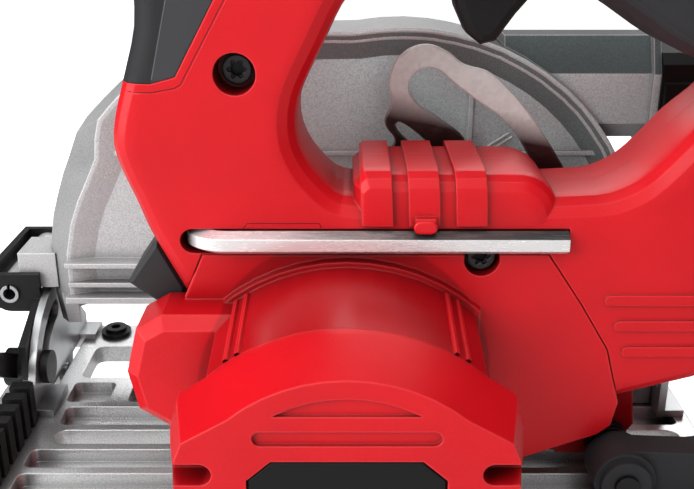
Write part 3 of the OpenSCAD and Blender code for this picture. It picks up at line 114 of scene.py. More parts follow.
class Graph:
    """A material's node tree with short calls to add and link nodes."""

    def __init__(self, name):
        self.mat = bpy.data.materials.new(name)
        self.mat.use_nodes = True
        self.tree = self.mat.node_tree
        self.bsdf = self.tree.nodes["Principled BSDF"]
        place = self.add("ShaderNodeTexCoord")
        self.coords = place.outputs["Object"]
        self.normals = place.outputs["Normal"]

    def add(self, kind, **settings):
        node = self.tree.nodes.new(kind)
        for key, value in settings.items():
            setattr(node, key, value)
        return node

    def link(self, out, socket):
        self.tree.links.new(out, socket)

    def stretch(self, x, y, z):
        """Object coordinates scaled along each axis."""
        node = self.add("ShaderNodeMapping")
        node.inputs["Scale"].default_value = (x, y, z)
        self.link(self.coords, node.inputs["Vector"])
        return node.outputs["Vector"]

    def noise(self, scale, detail=2.0, rough=0.5, vector=None):
        node = self.add("ShaderNodeTexNoise")
        node.inputs["Scale"].default_value = scale
        node.inputs["Detail"].default_value = detail
        node.inputs["Roughness"].default_value = rough
        self.link(vector or self.coords, node.inputs["Vector"])
        return node.outputs["Fac"]

    def cells(self, scale):
        node = self.add("ShaderNodeTexVoronoi")
        node.inputs["Scale"].default_value = scale
        self.link(self.coords, node.inputs["Vector"])
        return node.outputs["Distance"]

    def ramp(self, value, low, high, to_low=0.0, to_high=1.0):
        """Maps low..high to to_low..to_high, and holds the ends."""
        node = self.add("ShaderNodeMapRange")
        for name, number in (("From Min", low), ("From Max", high), ("To Min", to_low), ("To Max", to_high)):
            node.inputs[name].default_value = number
        self.link(value, node.inputs["Value"])
        return node.outputs["Result"]

    def axis(self, vector, name):
        node = self.add("ShaderNodeSeparateXYZ")
        self.link(vector, node.inputs[0])
        return node.outputs[name]

    def outward(self, centre):
        """Vector away from an axis along Y through centre."""
        shift = self.add("ShaderNodeVectorMath", operation="SUBTRACT")
        self.link(self.coords, shift.inputs[0])
        shift.inputs[1].default_value = centre
        flat = self.add("ShaderNodeVectorMath", operation="MULTIPLY")
        self.link(shift.outputs[0], flat.inputs[0])
        flat.inputs[1].default_value = (1, 0, 1)
        return flat.outputs[0]

    def distance(self, centre):
        """Distance from an axis along Y through centre."""
        node = self.add("ShaderNodeVectorMath", operation="LENGTH")
        self.link(self.outward(centre), node.inputs[0])
        return node.outputs["Value"]

    def facing(self, direction):
        """Cosine between the surface and a direction, fixed or a vector socket, in the object's own frame."""
        unit = self.add("ShaderNodeVectorMath", operation="NORMALIZE")
        if isinstance(direction, tuple):
            unit.inputs[0].default_value = direction
        else:
            self.link(direction, unit.inputs[0])
        dot = self.add("ShaderNodeVectorMath", operation="DOT_PRODUCT")
        self.link(unit.outputs[0], dot.inputs[0])
        self.link(self.normals, dot.inputs[1])
        return dot.outputs["Value"]

    def math(self, op, a, b):
        node = self.add("ShaderNodeMath", operation=op)
        for i, v in enumerate((a, b)):
            if isinstance(v, (int, float)):
                node.inputs[i].default_value = v
            else:
                self.link(v, node.inputs[i])
        return node.outputs[0]

    def mix(self, factor, a, b):
        node = self.add("ShaderNodeMix", data_type="RGBA")
        self.link(factor, node.inputs[0])
        for socket, v in ((node.inputs[6], a), (node.inputs[7], b)):
            if isinstance(v, (tuple, list)):
                socket.default_value = (*v, 1.0)
            else:
                self.link(v, socket)
        return node.outputs[2]

    def rounded(self, radius):
        """Normal of a surface whose edges are rounded off, for a radius in mm."""
        node = self.add("ShaderNodeBevel", samples=4)
        node.inputs["Radius"].default_value = radius * MM
        return node.outputs["Normal"]

    def edges(self, normal, low=0.985, high=0.9):
        """1 along sharp outer and inner edges, 0 on open faces."""
        dot = self.add("ShaderNodeVectorMath", operation="DOT_PRODUCT")
        self.link(normal, dot.inputs[0])
        self.link(self.add("ShaderNodeNewGeometry").outputs["Normal"], dot.inputs[1])
        return self.ramp(dot.outputs["Value"], low, high)

    def hollow_shade(self, reach, dark=0.3):
        """Painted shade: 1 on open faces, falling to dark where other surfaces stand within reach (mm)."""
        node = self.add("ShaderNodeAmbientOcclusion", samples=6)
        node.inputs["Distance"].default_value = reach * MM
        return self.ramp(node.outputs["AO"], 0.15, 0.85, dark, 1.0)

    def darken(self, colour, factor):
        """Multiplies a colour by a grey factor."""
        node = self.add("ShaderNodeVectorMath", operation="SCALE")
        self.link(colour, node.inputs[0])
        self.link(factor, node.inputs["Scale"])
        return node.outputs[0]

    def tint(self, colour, factor, times):
        """Multiplies a colour by times where factor is 1."""
        node = self.add("ShaderNodeVectorMath", operation="MULTIPLY")
        self.link(colour, node.inputs[0])
        node.inputs[1].default_value = times
        return self.mix(factor, colour, node.outputs[0])

    def bump(self, height, strength, distance, normal=None):
        node = self.add("ShaderNodeBump")
        node.inputs["Strength"].default_value = strength
        node.inputs["Distance"].default_value = distance
        self.link(height, node.inputs["Height"])
        if normal is not None:
            self.link(normal, node.inputs["Normal"])
        return node.outputs["Normal"]

    def put(self, name, value):
        """Sets or links an input of the Principled shader."""
        socket = self.bsdf.inputs[name]
        if isinstance(value, (int, float)):
            socket.default_value = value
        elif isinstance(value, tuple):
            socket.default_value = (*value, 1.0)
        else:
            self.link(value, socket)


def shade(base, amount):
    """A colour made darker or brighter, no channel above 1."""
    return tuple(min(1.0, c * amount) for c in base)


def plastic(name, base, rough, grain=2600, bump=0.10, edge=1.35, radius=0.5, coat=0.0, cloud=0.08, reach=14,
            dark=0.3, core=None, facet=None):
    """Moulded plastic or rubber; edge is a factor or a colour for the painted highlight along its sharp
    edges, and reach and dark set the painted shade in its hollows.

    core is an axis, a radius round it and a factor for the painted shade on what lies inside; facet is a line
    of two [x, z] points in mm, and what lies in front of it is dimmed as painted shade.
    """
    g = Graph(name)
    grain_map = g.noise(grain, 3.0, 0.6)
    clouds = g.noise(35, 3.0)
    normal = g.rounded(radius)
    tone = g.mix(g.ramp(clouds, 0.3, 0.7), shade(base, 1 - cloud), shade(base, 1 + cloud))
    tone = g.mix(g.ramp(grain_map, 0.35, 0.7, 0.0, 0.5), tone, shade(base, 1.25))
    # painted highlight: sharp edges are lightened or take the highlight colour
    tone = g.mix(g.edges(normal), tone, shade(base, edge) if isinstance(edge, float) else edge)
    # painted shade: what lies within the radius of the axis is darkened by the factor
    if core:
        axis, reach_out, factor = core
        tone = g.darken(tone, g.ramp(g.distance(axis), reach_out, reach_out + 0.001, factor, 1.0))
    # painted shade: what lies in front of the facet line is darkened
    if facet:
        (xa, za), (xb, zb) = facet
        length = math.hypot(xb - xa, zb - za)
        beside = g.math("ADD", g.math("MULTIPLY", g.axis(g.coords, "X"), (za - zb) / length),
                        g.math("MULTIPLY", g.axis(g.coords, "Z"), (xb - xa) / length))
        line = (xa * (za - zb) + za * (xb - xa)) / length * MM
        tone = g.darken(tone, g.ramp(beside, line - 0.3 * MM, line + 0.3 * MM, 0.42, 1.0))
    # painted shade in hollows, where other surfaces stand within reach
    g.put("Base Color", g.darken(tone, g.hollow_shade(reach, dark)))
    g.put("Roughness", g.ramp(g.math("ADD", clouds, grain_map), 0.7, 1.3, rough - 0.05, rough + 0.06))
    g.put("Specular IOR Level", 0.3)
    g.put("Coat Weight", coat)
    g.put("Coat Roughness", 0.25)
    g.put("Normal", g.bump(grain_map, bump, 0.2 * MM, normal))
    return g.mat


def cast(name, base, rough=0.42, grain=1500, metal=0.8, radius=0.6, edge=1.25, reach=9, dark=0.18, dish=None):
    """Blasted die casting with painted highlights along its sharp edges and fine pores; dish is the axis of
    the blade guard, used to lay painted shade on its slopes and rim.
    """
    g = Graph(name)
    fine = g.noise(grain, 4.0, 0.65)
    pores = g.ramp(g.cells(grain * 0.55), 0.02, 0.28)
    clouds = g.noise(28, 4.0, 0.6)
    normal = g.rounded(radius)
    tone = g.mix(g.ramp(fine, 0.34, 0.66), shade(base, 0.7), shade(base, 1.22))
    tone = g.mix(g.ramp(clouds, 0.3, 0.7, 0.0, 0.35), tone, shade(base, 0.86))
    tone = g.mix(pores, shade(base, 0.7), tone)
    if dish:
        # painted shade: slopes that lean down and forward are darkened, and the rim's outer side is painted
        # darker than its top
        toward = g.facing((0, -1, 0))
        slope_shade = g.math("MULTIPLY", g.ramp(g.facing((-0.6, 0, -0.8)), 0.05, 0.2), g.ramp(toward, 0.6, 0.85))
        tone = g.darken(tone, g.ramp(slope_shade, 0.0, 1.0, 1.0, 0.4))
        tone = g.darken(tone, g.ramp(g.facing(g.outward(dish)), 0.25, 0.6, 1.0, 0.75))
        # the side towards the red shell is tinted cooler, painted to offset the red light the shell throws
        # onto it, and the dust duct's top flat is darkened as painted shade
        red_bounce_offset = g.math("MULTIPLY", g.ramp(toward, 0.3, 0.9), g.ramp(g.axis(g.coords, "X"), -0.06, -0.02))
        tone = g.tint(tone, red_bounce_offset, (1.2, 1.5, 1.5))
        duct_top_shade = g.math("MULTIPLY", g.ramp(g.axis(g.coords, "X"), 0.052, 0.056),
                      g.ramp(g.facing((0, 0, 1)), 0.15, 0.3))
        tone = g.darken(tone, g.ramp(duct_top_shade, 0.0, 1.0, 1.0, 0.17))
    # painted highlight along sharp edges
    tone = g.mix(g.edges(normal), tone, shade(base, edge))
    # painted shade in hollows
    g.put("Base Color", g.darken(tone, g.hollow_shade(reach, dark)))
    g.put("Metallic", metal)
    g.put("Roughness", g.ramp(g.math("ADD", clouds, fine), 0.7, 1.3, rough - 0.06, rough + 0.08))
    g.put("Normal", g.bump(g.math("ADD", fine, pores), 0.22, 0.12 * MM, normal))
    return g.mat


def steel(name, base, rough=0.28, along=(1, 1, 1), metal=1.0, radius=0.3, edge=1.15, upper=1.0,
          fade=(-2, -1), streak=0.08):
    """Rolled, ground or plated steel with fine lines drawn along one way.

    Flats that face up carry painted shade, dimmed to upper, from the first to the second x of fade.
    """
    g = Graph(name)
    lines = g.noise(900, 3.0, 0.6, g.stretch(*along))
    smears = g.noise(45, 4.0, 0.6)
    normal = g.rounded(radius)
    tone = g.mix(g.ramp(lines, 0.3, 0.7), shade(base, 0.9), shade(base, 1.06))
    tone = g.mix(g.ramp(smears, 0.45, 0.75, 0.0, 0.3), tone, shade(base, 0.8))
    # painted highlight along sharp edges
    tone = g.mix(g.edges(normal), tone, shade(base, edge))
    # painted shade: on flats that face up, fading in along x, and in hollows
    shaded_flats = g.math("MULTIPLY", g.ramp(g.axis(g.normals, "Z"), 0.3, 0.8),
                   g.ramp(g.axis(g.coords, "X"), *fade))
    shade_map = g.math("MULTIPLY", g.hollow_shade(5, 0.4), g.ramp(shaded_flats, 0.0, 1.0, 1.0, upper))
    g.put("Base Color", g.darken(tone, shade_map))
    g.put("Metallic", metal)
    g.put("Roughness", g.ramp(g.math("ADD", lines, smears), 0.7, 1.3, rough - 0.06, rough + 0.1))
    g.put("Normal", g.bump(lines, streak, 0.05 * MM, normal))
    return g.mat


def turned(name, base, rough, centre, rings=2600):
    """Ground face with circular grinding lines about an axis along Y through centre."""
    g = Graph(name)
    wave = g.add("ShaderNodeTexNoise", noise_dimensions="1D")
    wave.inputs["Scale"].default_value = rings
    wave.inputs["Detail"].default_value = 3.0
    g.link(g.distance(centre), wave.inputs["W"])
    smears = g.noise(40, 4.0, 0.6)
    tone = g.mix(g.ramp(wave.outputs["Fac"], 0.3, 0.7), shade(base, 0.86), shade(base, 1.08))
    g.put("Base Color", g.mix(g.ramp(smears, 0.45, 0.75, 0.0, 0.3), tone, shade(base, 0.82)))
    g.put("Metallic", 1.0)
    g.put("Roughness", g.ramp(smears, 0.3, 0.7, rough - 0.05, rough + 0.1))
    g.put("Normal", g.bump(wave.outputs["Fac"], 0.12, 0.05 * MM, g.rounded(0.25)))
    return g.mat


def glossy(name, base, rough, transmission=0.0):
    """Smooth lacquer, film or clear plastic with a little dust."""
    g = Graph(name)
    dust = g.noise(600, 4.0, 0.7)
    g.put("Base Color", g.mix(g.ramp(dust, 0.35, 0.7, 0.0, 0.4), base, shade(base, 0.85)))
    g.put("Roughness", g.ramp(dust, 0.3, 0.7, rough, rough + 0.08))
    g.put("Transmission Weight", transmission)
    g.put("Normal", g.bump(g.noise(90), 0.03, 0.1 * MM))
    return g.mat


def enamel(name, light, reflected_dark, low, high):
    """Thick orange-peel coat with a painted reflection that goes from deep to light between two heights: the
    dark shell mirrored low down, the bright floor above.
    """
    g = Graph(name)
    peel = g.noise(520, 1.5, 0.4)
    clouds = g.noise(60, 3.0)
    slant = g.math("ADD", g.axis(g.coords, "Z"), g.math("MULTIPLY", g.axis(g.coords, "X"), 0.19))
    height = g.math("ADD", slant, g.math("MULTIPLY", clouds, 0.002))
    normal = g.rounded(0.7)
    top = g.mix(g.ramp(peel, 0.35, 0.65), shade(light, 0.95), shade(light, 1.04))
    # painted reflection: dark low down, light higher up
    tone = g.mix(g.ramp(height, low, high), reflected_dark, top)
    # painted highlight along sharp edges and painted shade in hollows
    g.put("Base Color", g.darken(g.mix(g.edges(normal), tone, shade(light, 1.4)), g.hollow_shade(4, 0.5)))
    g.put("Metallic", 0.15)
    g.put("Roughness", g.ramp(clouds, 0.3, 0.7, 0.26, 0.36))
    g.put("Normal", g.bump(peel, 0.5, 0.3 * MM, normal))
    return g.mat


RED = (0.66, 0.0045, 0.011)
# painted highlight colour for the red shell's sharp edges
RED_EDGE_HIGHLIGHT = (0.9, 0.055, 0.06)
# the front grip's crease, as two [x, z] points in mm
FACET = [(-54.1, 180.6), (-60.3, 155.5)]

# the record's slots, and the finishes that only some pieces have
# edge sets painted highlights along sharp edges; reach and dark set painted shade in hollows
FINISH = {
    "cast_alloy": cast("cast_alloy", (0.84, 0.845, 0.85), rough=0.31, metal=0.9, edge=3, radius=0.7,
                       dark=0.1),
    # painted highlight: a near-white finish for the beads along the guard's rim and rib
    "painted_highlight_bead": cast("painted_highlight_bead", (0.84, 0.98, 0.97), rough=0.42, grain=1900, metal=0.1, radius=0.5,
                        edge=1.5, reach=2, dark=0.8),
    # painted shade on the guard's slopes, rim and duct top, with a tint against the shell's red light
    "guard_cast": cast("guard_cast", (0.66, 0.663, 0.67), rough=0.38, grain=1900, metal=0.3, radius=0.8,
                       edge=3, reach=22, dark=0.2, dish=ARBOR),
    "steel_plate": steel("steel_plate", (0.6, 0.61, 0.62), 0.34, (1, 6, 1)),
    "bright_steel": steel("bright_steel", (0.82, 0.82, 0.81), 0.16, (0.15, 2, 2), radius=0.35, edge=1.1),
    # painted shade on the wrench's upward flats, fading in along x
    "wrench_steel": steel("wrench_steel", (1.0, 1.0, 1.0), 0.24, (0.15, 2, 2), metal=0.55, radius=0.2,
                          edge=1.05, upper=0.1, fade=(-0.05, 0.025), streak=0.02),
    "ground_steel": turned("ground_steel", (0.62, 0.62, 0.63), 0.24, ARBOR),
    # painted highlight: edge=4.0 lightens the socket lobes' edges
    "socket_steel": steel("socket_steel", (0.045, 0.045, 0.047), 0.3, metal=0.6, radius=0.4, edge=4.0),
    "black_steel": steel("black_steel", (0.018, 0.018, 0.019), 0.38, metal=0.55, edge=2.6),
    "red_shell": plastic("red_shell", RED, 0.36, bump=0.16, edge=RED_EDGE_HIGHLIGHT, radius=0.9, reach=26, dark=0.2),
    # painted shade on the motor barrel, inside 48.5 mm of the motor axis
    "red_barrel": plastic("red_barrel", RED, 0.33, bump=0.12, edge=RED_EDGE_HIGHLIGHT, radius=0.9, reach=26,
                          dark=0.2, core=(MOTOR, 0.0485, 0.66)),
    # a lighter copy of the red as painted highlight, with a glossier coat
    "red_gloss": plastic("red_gloss", shade(RED, 1.05), 0.27, bump=0.03, edge=RED_EDGE_HIGHLIGHT, radius=0.7,
                         coat=0.25),
    # painted shade: a dark copy of the red for grooves and parting lines
    "red_groove_shade": plastic("red_groove_shade", shade(RED, 0.22), 0.45),
    # painted highlight: a grey lighter than the rubber, along the grip's crease
    "grip_edge": plastic("grip_edge", (0.12, 0.12, 0.125), 0.5, edge=1.3),
    "black_plastic": plastic("black_plastic", (0.004, 0.004, 0.0042), 0.56, edge=2.0, radius=0.5),
    "lamp_grey": plastic("lamp_grey", (0.03, 0.03, 0.032), 0.5, edge=1.6, radius=0.4),
    "grip_rubber": plastic("grip_rubber", (0.026, 0.0266, 0.029), 0.62, grain=3600, bump=0.2, edge=1.5,
                           radius=0.8),
    # painted shade on the grip's front facet, in front of the crease
    "front_rubber": plastic("front_rubber", (0.045, 0.046, 0.05), 0.62, grain=3600, bump=0.2, edge=1.5,
                            radius=0.8, facet=FACET),
    # painted reflection: dark red low down, light above
    "hook_steel": enamel("hook_steel", (0.82, 0.84, 0.81), (0.022, 0.006, 0.006), 0.1365, 0.1475),
    "lamp_lens": glossy("lamp_lens", (0.88, 0.9, 0.93), 0.1, 0.5),
    "board_green": glossy("board_green", (0.03, 0.22, 0.1), 0.3),
    "copper_winding": steel("copper_winding", (0.6, 0.3, 0.14), 0.36, (1, 8, 1)),
    "core_steel": steel("core_steel", (0.4, 0.41, 0.42), 0.4, (0.2, 12, 0.2)),
    "cell_wrap": glossy("cell_wrap", (0.1, 0.22, 0.5), 0.25),
}
SPECIAL = {"front_grip_skin": "front_rubber", "motor_housing": "red_barrel", "upper_guard": "guard_cast",
           "led_housing": "lamp_grey"}


def smooth_group(degrees):
    """Joins split corners and shades smooth except across edges sharper than the angle."""
    group = bpy.data.node_groups.new(f"smooth_below_{degrees}", "GeometryNodeTree")
    group.interface.new_socket("Geometry", in_out="INPUT", socket_type="NodeSocketGeometry")
    group.interface.new_socket("Geometry", in_out="OUTPUT", socket_type="NodeSocketGeometry")
    nodes, links = group.nodes, group.links
    start = nodes.new("NodeGroupInput")
    end = nodes.new("NodeGroupOutput")
    drop = nodes.new("GeometryNodeRemoveAttribute")
    drop.inputs["Name"].default_value = "custom_normal"
    weld = nodes.new("GeometryNodeMergeByDistance")
    weld.inputs["Distance"].default_value = 1e-6
    faces = nodes.new("GeometryNodeSetShadeSmooth")
    faces.domain = "FACE"
    sharp = nodes.new("GeometryNodeSetShadeSmooth")
    sharp.domain = "EDGE"
    sharp.inputs["Shade Smooth"].default_value = False
    angle = nodes.new("GeometryNodeInputMeshEdgeAngle")
    over = nodes.new("FunctionNodeCompare")
    over.data_type = "FLOAT"
    over.operation = "GREATER_THAN"
    over.inputs[1].default_value = math.radians(degrees)
    links.new(start.outputs[0], drop.inputs[0])
    links.new(drop.outputs[0], weld.inputs["Geometry"])
    links.new(weld.outputs[0], faces.inputs["Geometry"])
    links.new(faces.outputs[0], sharp.inputs["Geometry"])
    links.new(angle.outputs["Unsigned Angle"], over.inputs[0])
    links.new(over.outputs[0], sharp.inputs["Selection"])
    links.new(sharp.outputs[0], end.inputs[0])
    return group


SMOOTH = smooth_group(34)
CRISP = smooth_group(17)
CRISP_SLOTS = {"red_shell", "cast_alloy", "black_plastic"}


def shade_bevels(o, group=SMOOTH):
    """Rounded bevels beside faces that stay flat."""
    o.modifiers.new("smooth", "NODES").node_group = group
    weighted = o.modifiers.new("flat_faces", "WEIGHTED_NORMAL")
    weighted.keep_sharp = True
    weighted.weight = 100


def dress_nodes():
    """Gives every CAD node its finish and its smoothing."""
    for part in SUBPARTS:
        name, slot = part["node"], part["material_slot"]
        o = NODES[name]
        o.data.materials.clear()
        o.data.materials.append(FINISH[SPECIAL.get(name, slot)])
        shade_bevels(o, CRISP if slot in CRISP_SLOTS else SMOOTH)


# ---------- helpers for the pieces made here ----------

def solids(name):
    """Low and high corners of each loose solid of a CAD node."""
    mesh = bmesh.new()
    mesh.from_mesh(NODES[name].data)
    bmesh.ops.remove_doubles(mesh, verts=mesh.verts, dist=1e-6)
    left, found = set(mesh.verts), []
    while left:
        group, edge = set(), [left.pop()]
        while edge:
            v = edge.pop()
            group.add(v)
            for e in v.link_edges:
                other = e.other_vert(v)
                if other in left:
                    left.discard(other)
                    edge.append(other)
        places = [NODES[name].matrix_world @ v.co for v in group]
        found.append(tuple(Vector([pick(q[i] for q in places) for i in range(3)]) for pick in (min, max)))
    mesh.free()
    return sorted(found, key=lambda box: tuple(box[0]))


def piece(name, mesh, body_node, finish):
    """Puts a finished mesh in the scene, on the body of a CAD node, with one finish from the table."""
    o = bpy.data.objects.new(name, mesh)
    mesh.materials.clear()
    mesh.materials.append(FINISH[finish])
    bpy.context.scene.collection.objects.link(o)
    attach(o, body_of(NODES[body_node])[0])
    return o


def ring(centre, radius, count=40, wave=0.0, lobes=6):
    """A circle, or with wave a soft star, as [x, z] points in metres."""
    points = []
    for i in range(count):
        a = 2 * math.pi * i / count
        r = radius * (1 + wave * math.cos(lobes * a))
        points.append((centre[0] + r * math.cos(a), centre[1] + r * math.sin(a)))
    return points


def rounded_box(x0, z0, x1, z1, radius):
    """Outline of a box with round corners, [x, z] in metres from sizes in mm."""
    outline = []
    for x, z, start in ((x1 - radius, z1 - radius, 0), (x0 + radius, z1 - radius, 90),
                        (x0 + radius, z0 + radius, 180), (x1 - radius, z0 + radius, 270)):
        for k in range(6):
            a = math.radians(start + 18 * k)
            outline.append(((x + radius * math.cos(a)) * MM, (z + radius * math.sin(a)) * MM))
    return outline


def plate(name, loops, y_low, y_high, bevel, smooth=()):
    """Flat plate with rounded edges across Y: loops of [x, z], the first outside and the others holes.

    smooth holds the numbers of the loops that run as curves through their points.
    """
    data = bpy.data.curves.new(name, "CURVE")
    data.dimensions = "2D"
    data.fill_mode = "BOTH"
    data.extrude = (y_high - y_low) / 2 - bevel
    data.bevel_depth = bevel
    data.bevel_resolution = 3
    data.offset = -bevel
    data.resolution_u = 6
    for k, loop in enumerate(loops):
        line = data.splines.new("BEZIER")
        line.bezier_points.add(len(loop) - 1)
        for point, (x, z) in zip(line.bezier_points, loop):
            point.co = (x, z, 0)
            point.handle_left_type = point.handle_right_type = "AUTO" if k in smooth else "VECTOR"
        line.use_cyclic_u = True
    holder = bpy.data.objects.new(name, data)
    bpy.context.scene.collection.objects.link(holder)
    view = bpy.context.evaluated_depsgraph_get()
    mesh = bpy.data.meshes.new_from_object(holder.evaluated_get(view))
    bpy.data.objects.remove(holder)
    bpy.data.curves.remove(data)
    mesh.transform(Matrix.Translation((0, (y_low + y_high) / 2, 0)) @ Matrix.Rotation(math.pi / 2, 4, "X"))
    mesh.shade_smooth()
    return mesh


def skin(node):
    """Ray tree of a CAD node's faces."""
    o = NODES[node]
    return BVHTree.FromPolygons([o.matrix_world @ v.co for v in o.data.vertices],
                                [tuple(face.vertices) for face in o.data.polygons])


def surface_finder(node, side=-1):
    """A function for y of a node's skin at [x, z], from the motor side (-1) or the blade side (1)."""
    tree = skin(node)

    def find(x, z):
        hit = tree.ray_cast(Vector((x, side, z)), Vector((0, -side, 0)))[0]
        return hit.y if hit else None
    return find


def seam(name, node, points, width=0.45, height=0.1, finish="red_groove_shade", side=-1):
    """Fine bead laid on a shell along [x, z] points in mm, for parting lines and moulded edges; its default
    finish is a dark copy of the red that paints the shade of a groove.
    """
    pitch, sunk = 1.2 * MM, -0.05
    find = surface_finder(node, side)
    points = [Vector((x, z)) * MM for x, z in points]
    path = []
    for a, b in zip(points, points[1:]):
        steps = max(1, int((b - a).length / pitch))
        path += [a.lerp(b, k / steps) for k in range(steps)]
    path.append(points[-1])
    path = [place for place in path if find(place.x, place.y) is not None]
    verts, faces = [], []
    for k, place in enumerate(path):
        along = (path[min(k + 1, len(path) - 1)] - path[max(k - 1, 0)]).normalized()
        across = Vector((-along.y, along.x)) * width * MM / 2
        for step, lift in ((-1, sunk), (0, height), (1, sunk)):
            q = place + across * step
            y = find(q.x, q.y)
            y = find(place.x, place.y) if y is None else y
            verts.append((q.x, y + side * lift * MM, q.y))
        if k:
            n = 3 * k
            strip = [(n - 3, n - 2, n + 1, n), (n - 2, n - 1, n + 2, n + 1)]
            faces += strip if side > 0 else [face[::-1] for face in strip]
    mesh = bpy.data.meshes.new(name)
    mesh.from_pydata(verts, [], faces)
    mesh.shade_smooth()
    return piece(name, mesh, node, finish)


def inside(x, z, outline):
    """Whether [x, z] lies inside a closed outline."""
    odd = False
    for (xa, za), (xb, zb) in zip(outline, outline[1:] + outline[:1]):
        if (za > z) != (zb > z) and x < xa + (z - za) * (xb - xa) / (zb - za):
            odd = not odd
    return odd


def axial_rib(name, node, y_start, y_end, angle, width, height, finish):
    """Raised rib along the motor axis on the skin of a node, at an angle in degrees; sizes in mm."""
    tree = skin(node)
    a = math.radians(angle)
    out, side = Vector((math.cos(a), 0, math.sin(a))), Vector((-math.sin(a), 0, math.cos(a)))
    profile = [(-0.5, -0.3), (-0.38, 1.0), (0.38, 1.0), (0.5, -0.3)]
    verts, faces, rows = [], [], 12
    for k in range(rows + 1):
        y = y_start + (y_end - y_start) * k / rows
        for across, lift in profile:
            start = Vector((MOTOR[0], y, MOTOR[2])) + side * across * width * MM
            hit = tree.ray_cast(start + out * 0.2, -out)[0]
            verts.append(hit + out * lift * height * MM)
        if k:
            n = 4 * k
            faces += [(n + j, n + 1 + j, n - 3 + j, n - 4 + j) for j in range(3)]
    mesh = bpy.data.meshes.new(name)
    mesh.from_pydata(verts, [], faces)
    shade_bevels(piece(name, mesh, node, finish))


def star_head(name, node, middle, radius, socket, wave, span, bevel):
    """Flat screw head with a six-lobed socket, between two heights in y."""
    loops = [ring(middle, radius), ring(middle, socket, 48, wave)]
    piece(name, plate(name, loops, *span, bevel), node, "socket_steel")


# ---------- pieces made here, drawn by [x, z] points in mm ----------

HOOK = [(34, 99), (24, 93), (13, 95), (9, 104), (10, 115), (17.5, 123.5), (13.8, 131), (16.2, 138),
        (15.2, 146), (19, 155), (27.5, 159.2), (36, 156.6), (42, 152.2), (51, 149.4), (58.2, 143.7),
        (73, 125.7), (86.5, 104), (91.5, 94), (84, 86), (75, 94), (67, 118.5), (57, 132), (46.5, 139.7),
        (38.7, 145.5), (31.5, 150.7), (25, 149.5), (22.4, 144.2), (25, 138.6), (34, 132.3), (44.5, 122.5),
        (44, 110)]
HOOK_SLOT = [(17.9, 129.6), (18.6, 130.9), (20.1, 130.8), (31, 120.6), (30.2, 119.2), (28.8, 119.3)]
GROOVE = [(-22.6, 205.5), (-36.8, 180.6), (-51.3, 155.2), (-53.2, 154.1), (-60.3, 152.8), (-68, 152.8)]
CREASE = [(-50.5, 200)] + FACET
POCKET = [(-34.6, 107.2), (-32.3, 110), (-9, 110), (-7.7, 107.2)]
POCKET_BAR = [(-29, 107.6), (-13, 107.6)]
REAR_WRAP = [(62, 250), (58, 214), (61, 196), (72, 178), (90, 160), (116, 152.5), (140, 152.5),
             (200, 155.5), (214, 152.5), (240, 170), (240, 250)]


def hook():
    """Rafter hook: one bent strap, with the stop slot in its curled foot."""
    low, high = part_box("rafter_hook")
    pin = solids("hook_pin")[0]
    middle = ((pin[0][0] + pin[1][0]) / 2, (pin[0][2] + pin[1][2]) / 2)
    loops = [[(x * MM, z * MM) for x, z in line] for line in (HOOK, HOOK_SLOT)]
    loops.append(ring(middle, 4.1 * MM, 16))
    o = piece("hook_strap", plate("hook_strap", loops, low[1], high[1], 0.6 * MM, (0, 1, 2)), "rafter_hook",
              "hook_steel")
    shade_bevels(o)
    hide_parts("rafter_hook")


def wrench():
    """Hex wrench with a wide bend, its short leg in the round-ended pocket of the handle."""
    low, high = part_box("hex_wrench")
    across = high[2] - low[2]
    radius = across / 2
    y, z = low[1] + radius * math.cos(math.radians(30)), (low[2] + high[2]) / 2
    bend, start = 11.5 * MM, low[0] - 6.2 * MM + radius
    path = [(Vector((high[0], y, z)), Vector((-1, 0, 0)))]
    for i in range(13):
        a = math.pi / 2 * i / 12
        path.append((Vector((start + bend - bend * math.sin(a), y + bend - bend * math.cos(a), z)),
                     Vector((-math.cos(a), math.sin(a), 0))))
    path.append((Vector((start, high[1], z)), Vector((0, 1, 0))))
    mesh = bmesh.new()
    rings = []
    for place, along in path:
        side = along.cross(Vector((0, 0, 1)))
        rings.append([mesh.verts.new(place + radius * (math.sin(a) * side + math.cos(a) * Vector((0, 0, 1))))
                      for a in (math.pi / 3 * k for k in range(6))])
    for a, b in zip(rings, rings[1:]):
        for k in range(6):
            mesh.faces.new((a[k], a[k - 1], b[k - 1], b[k]))
    mesh.faces.new(rings[0])
    mesh.faces.new(rings[-1][::-1])
    bmesh.ops.recalc_face_normals(mesh, faces=mesh.faces)
    data = bpy.data.meshes.new("wrench_bar")
    mesh.to_mesh(data)
    mesh.free()
    o = piece("wrench_bar", data, "hex_wrench", "wrench_steel")
    bevel = o.modifiers.new("worn_edges", "BEVEL")
    bevel.width, bevel.segments, bevel.limit_method = 0.25 * MM, 2, "ANGLE"
    bevel.angle_limit = math.radians(40)
    shade_bevels(o)
    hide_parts("hex_wrench")


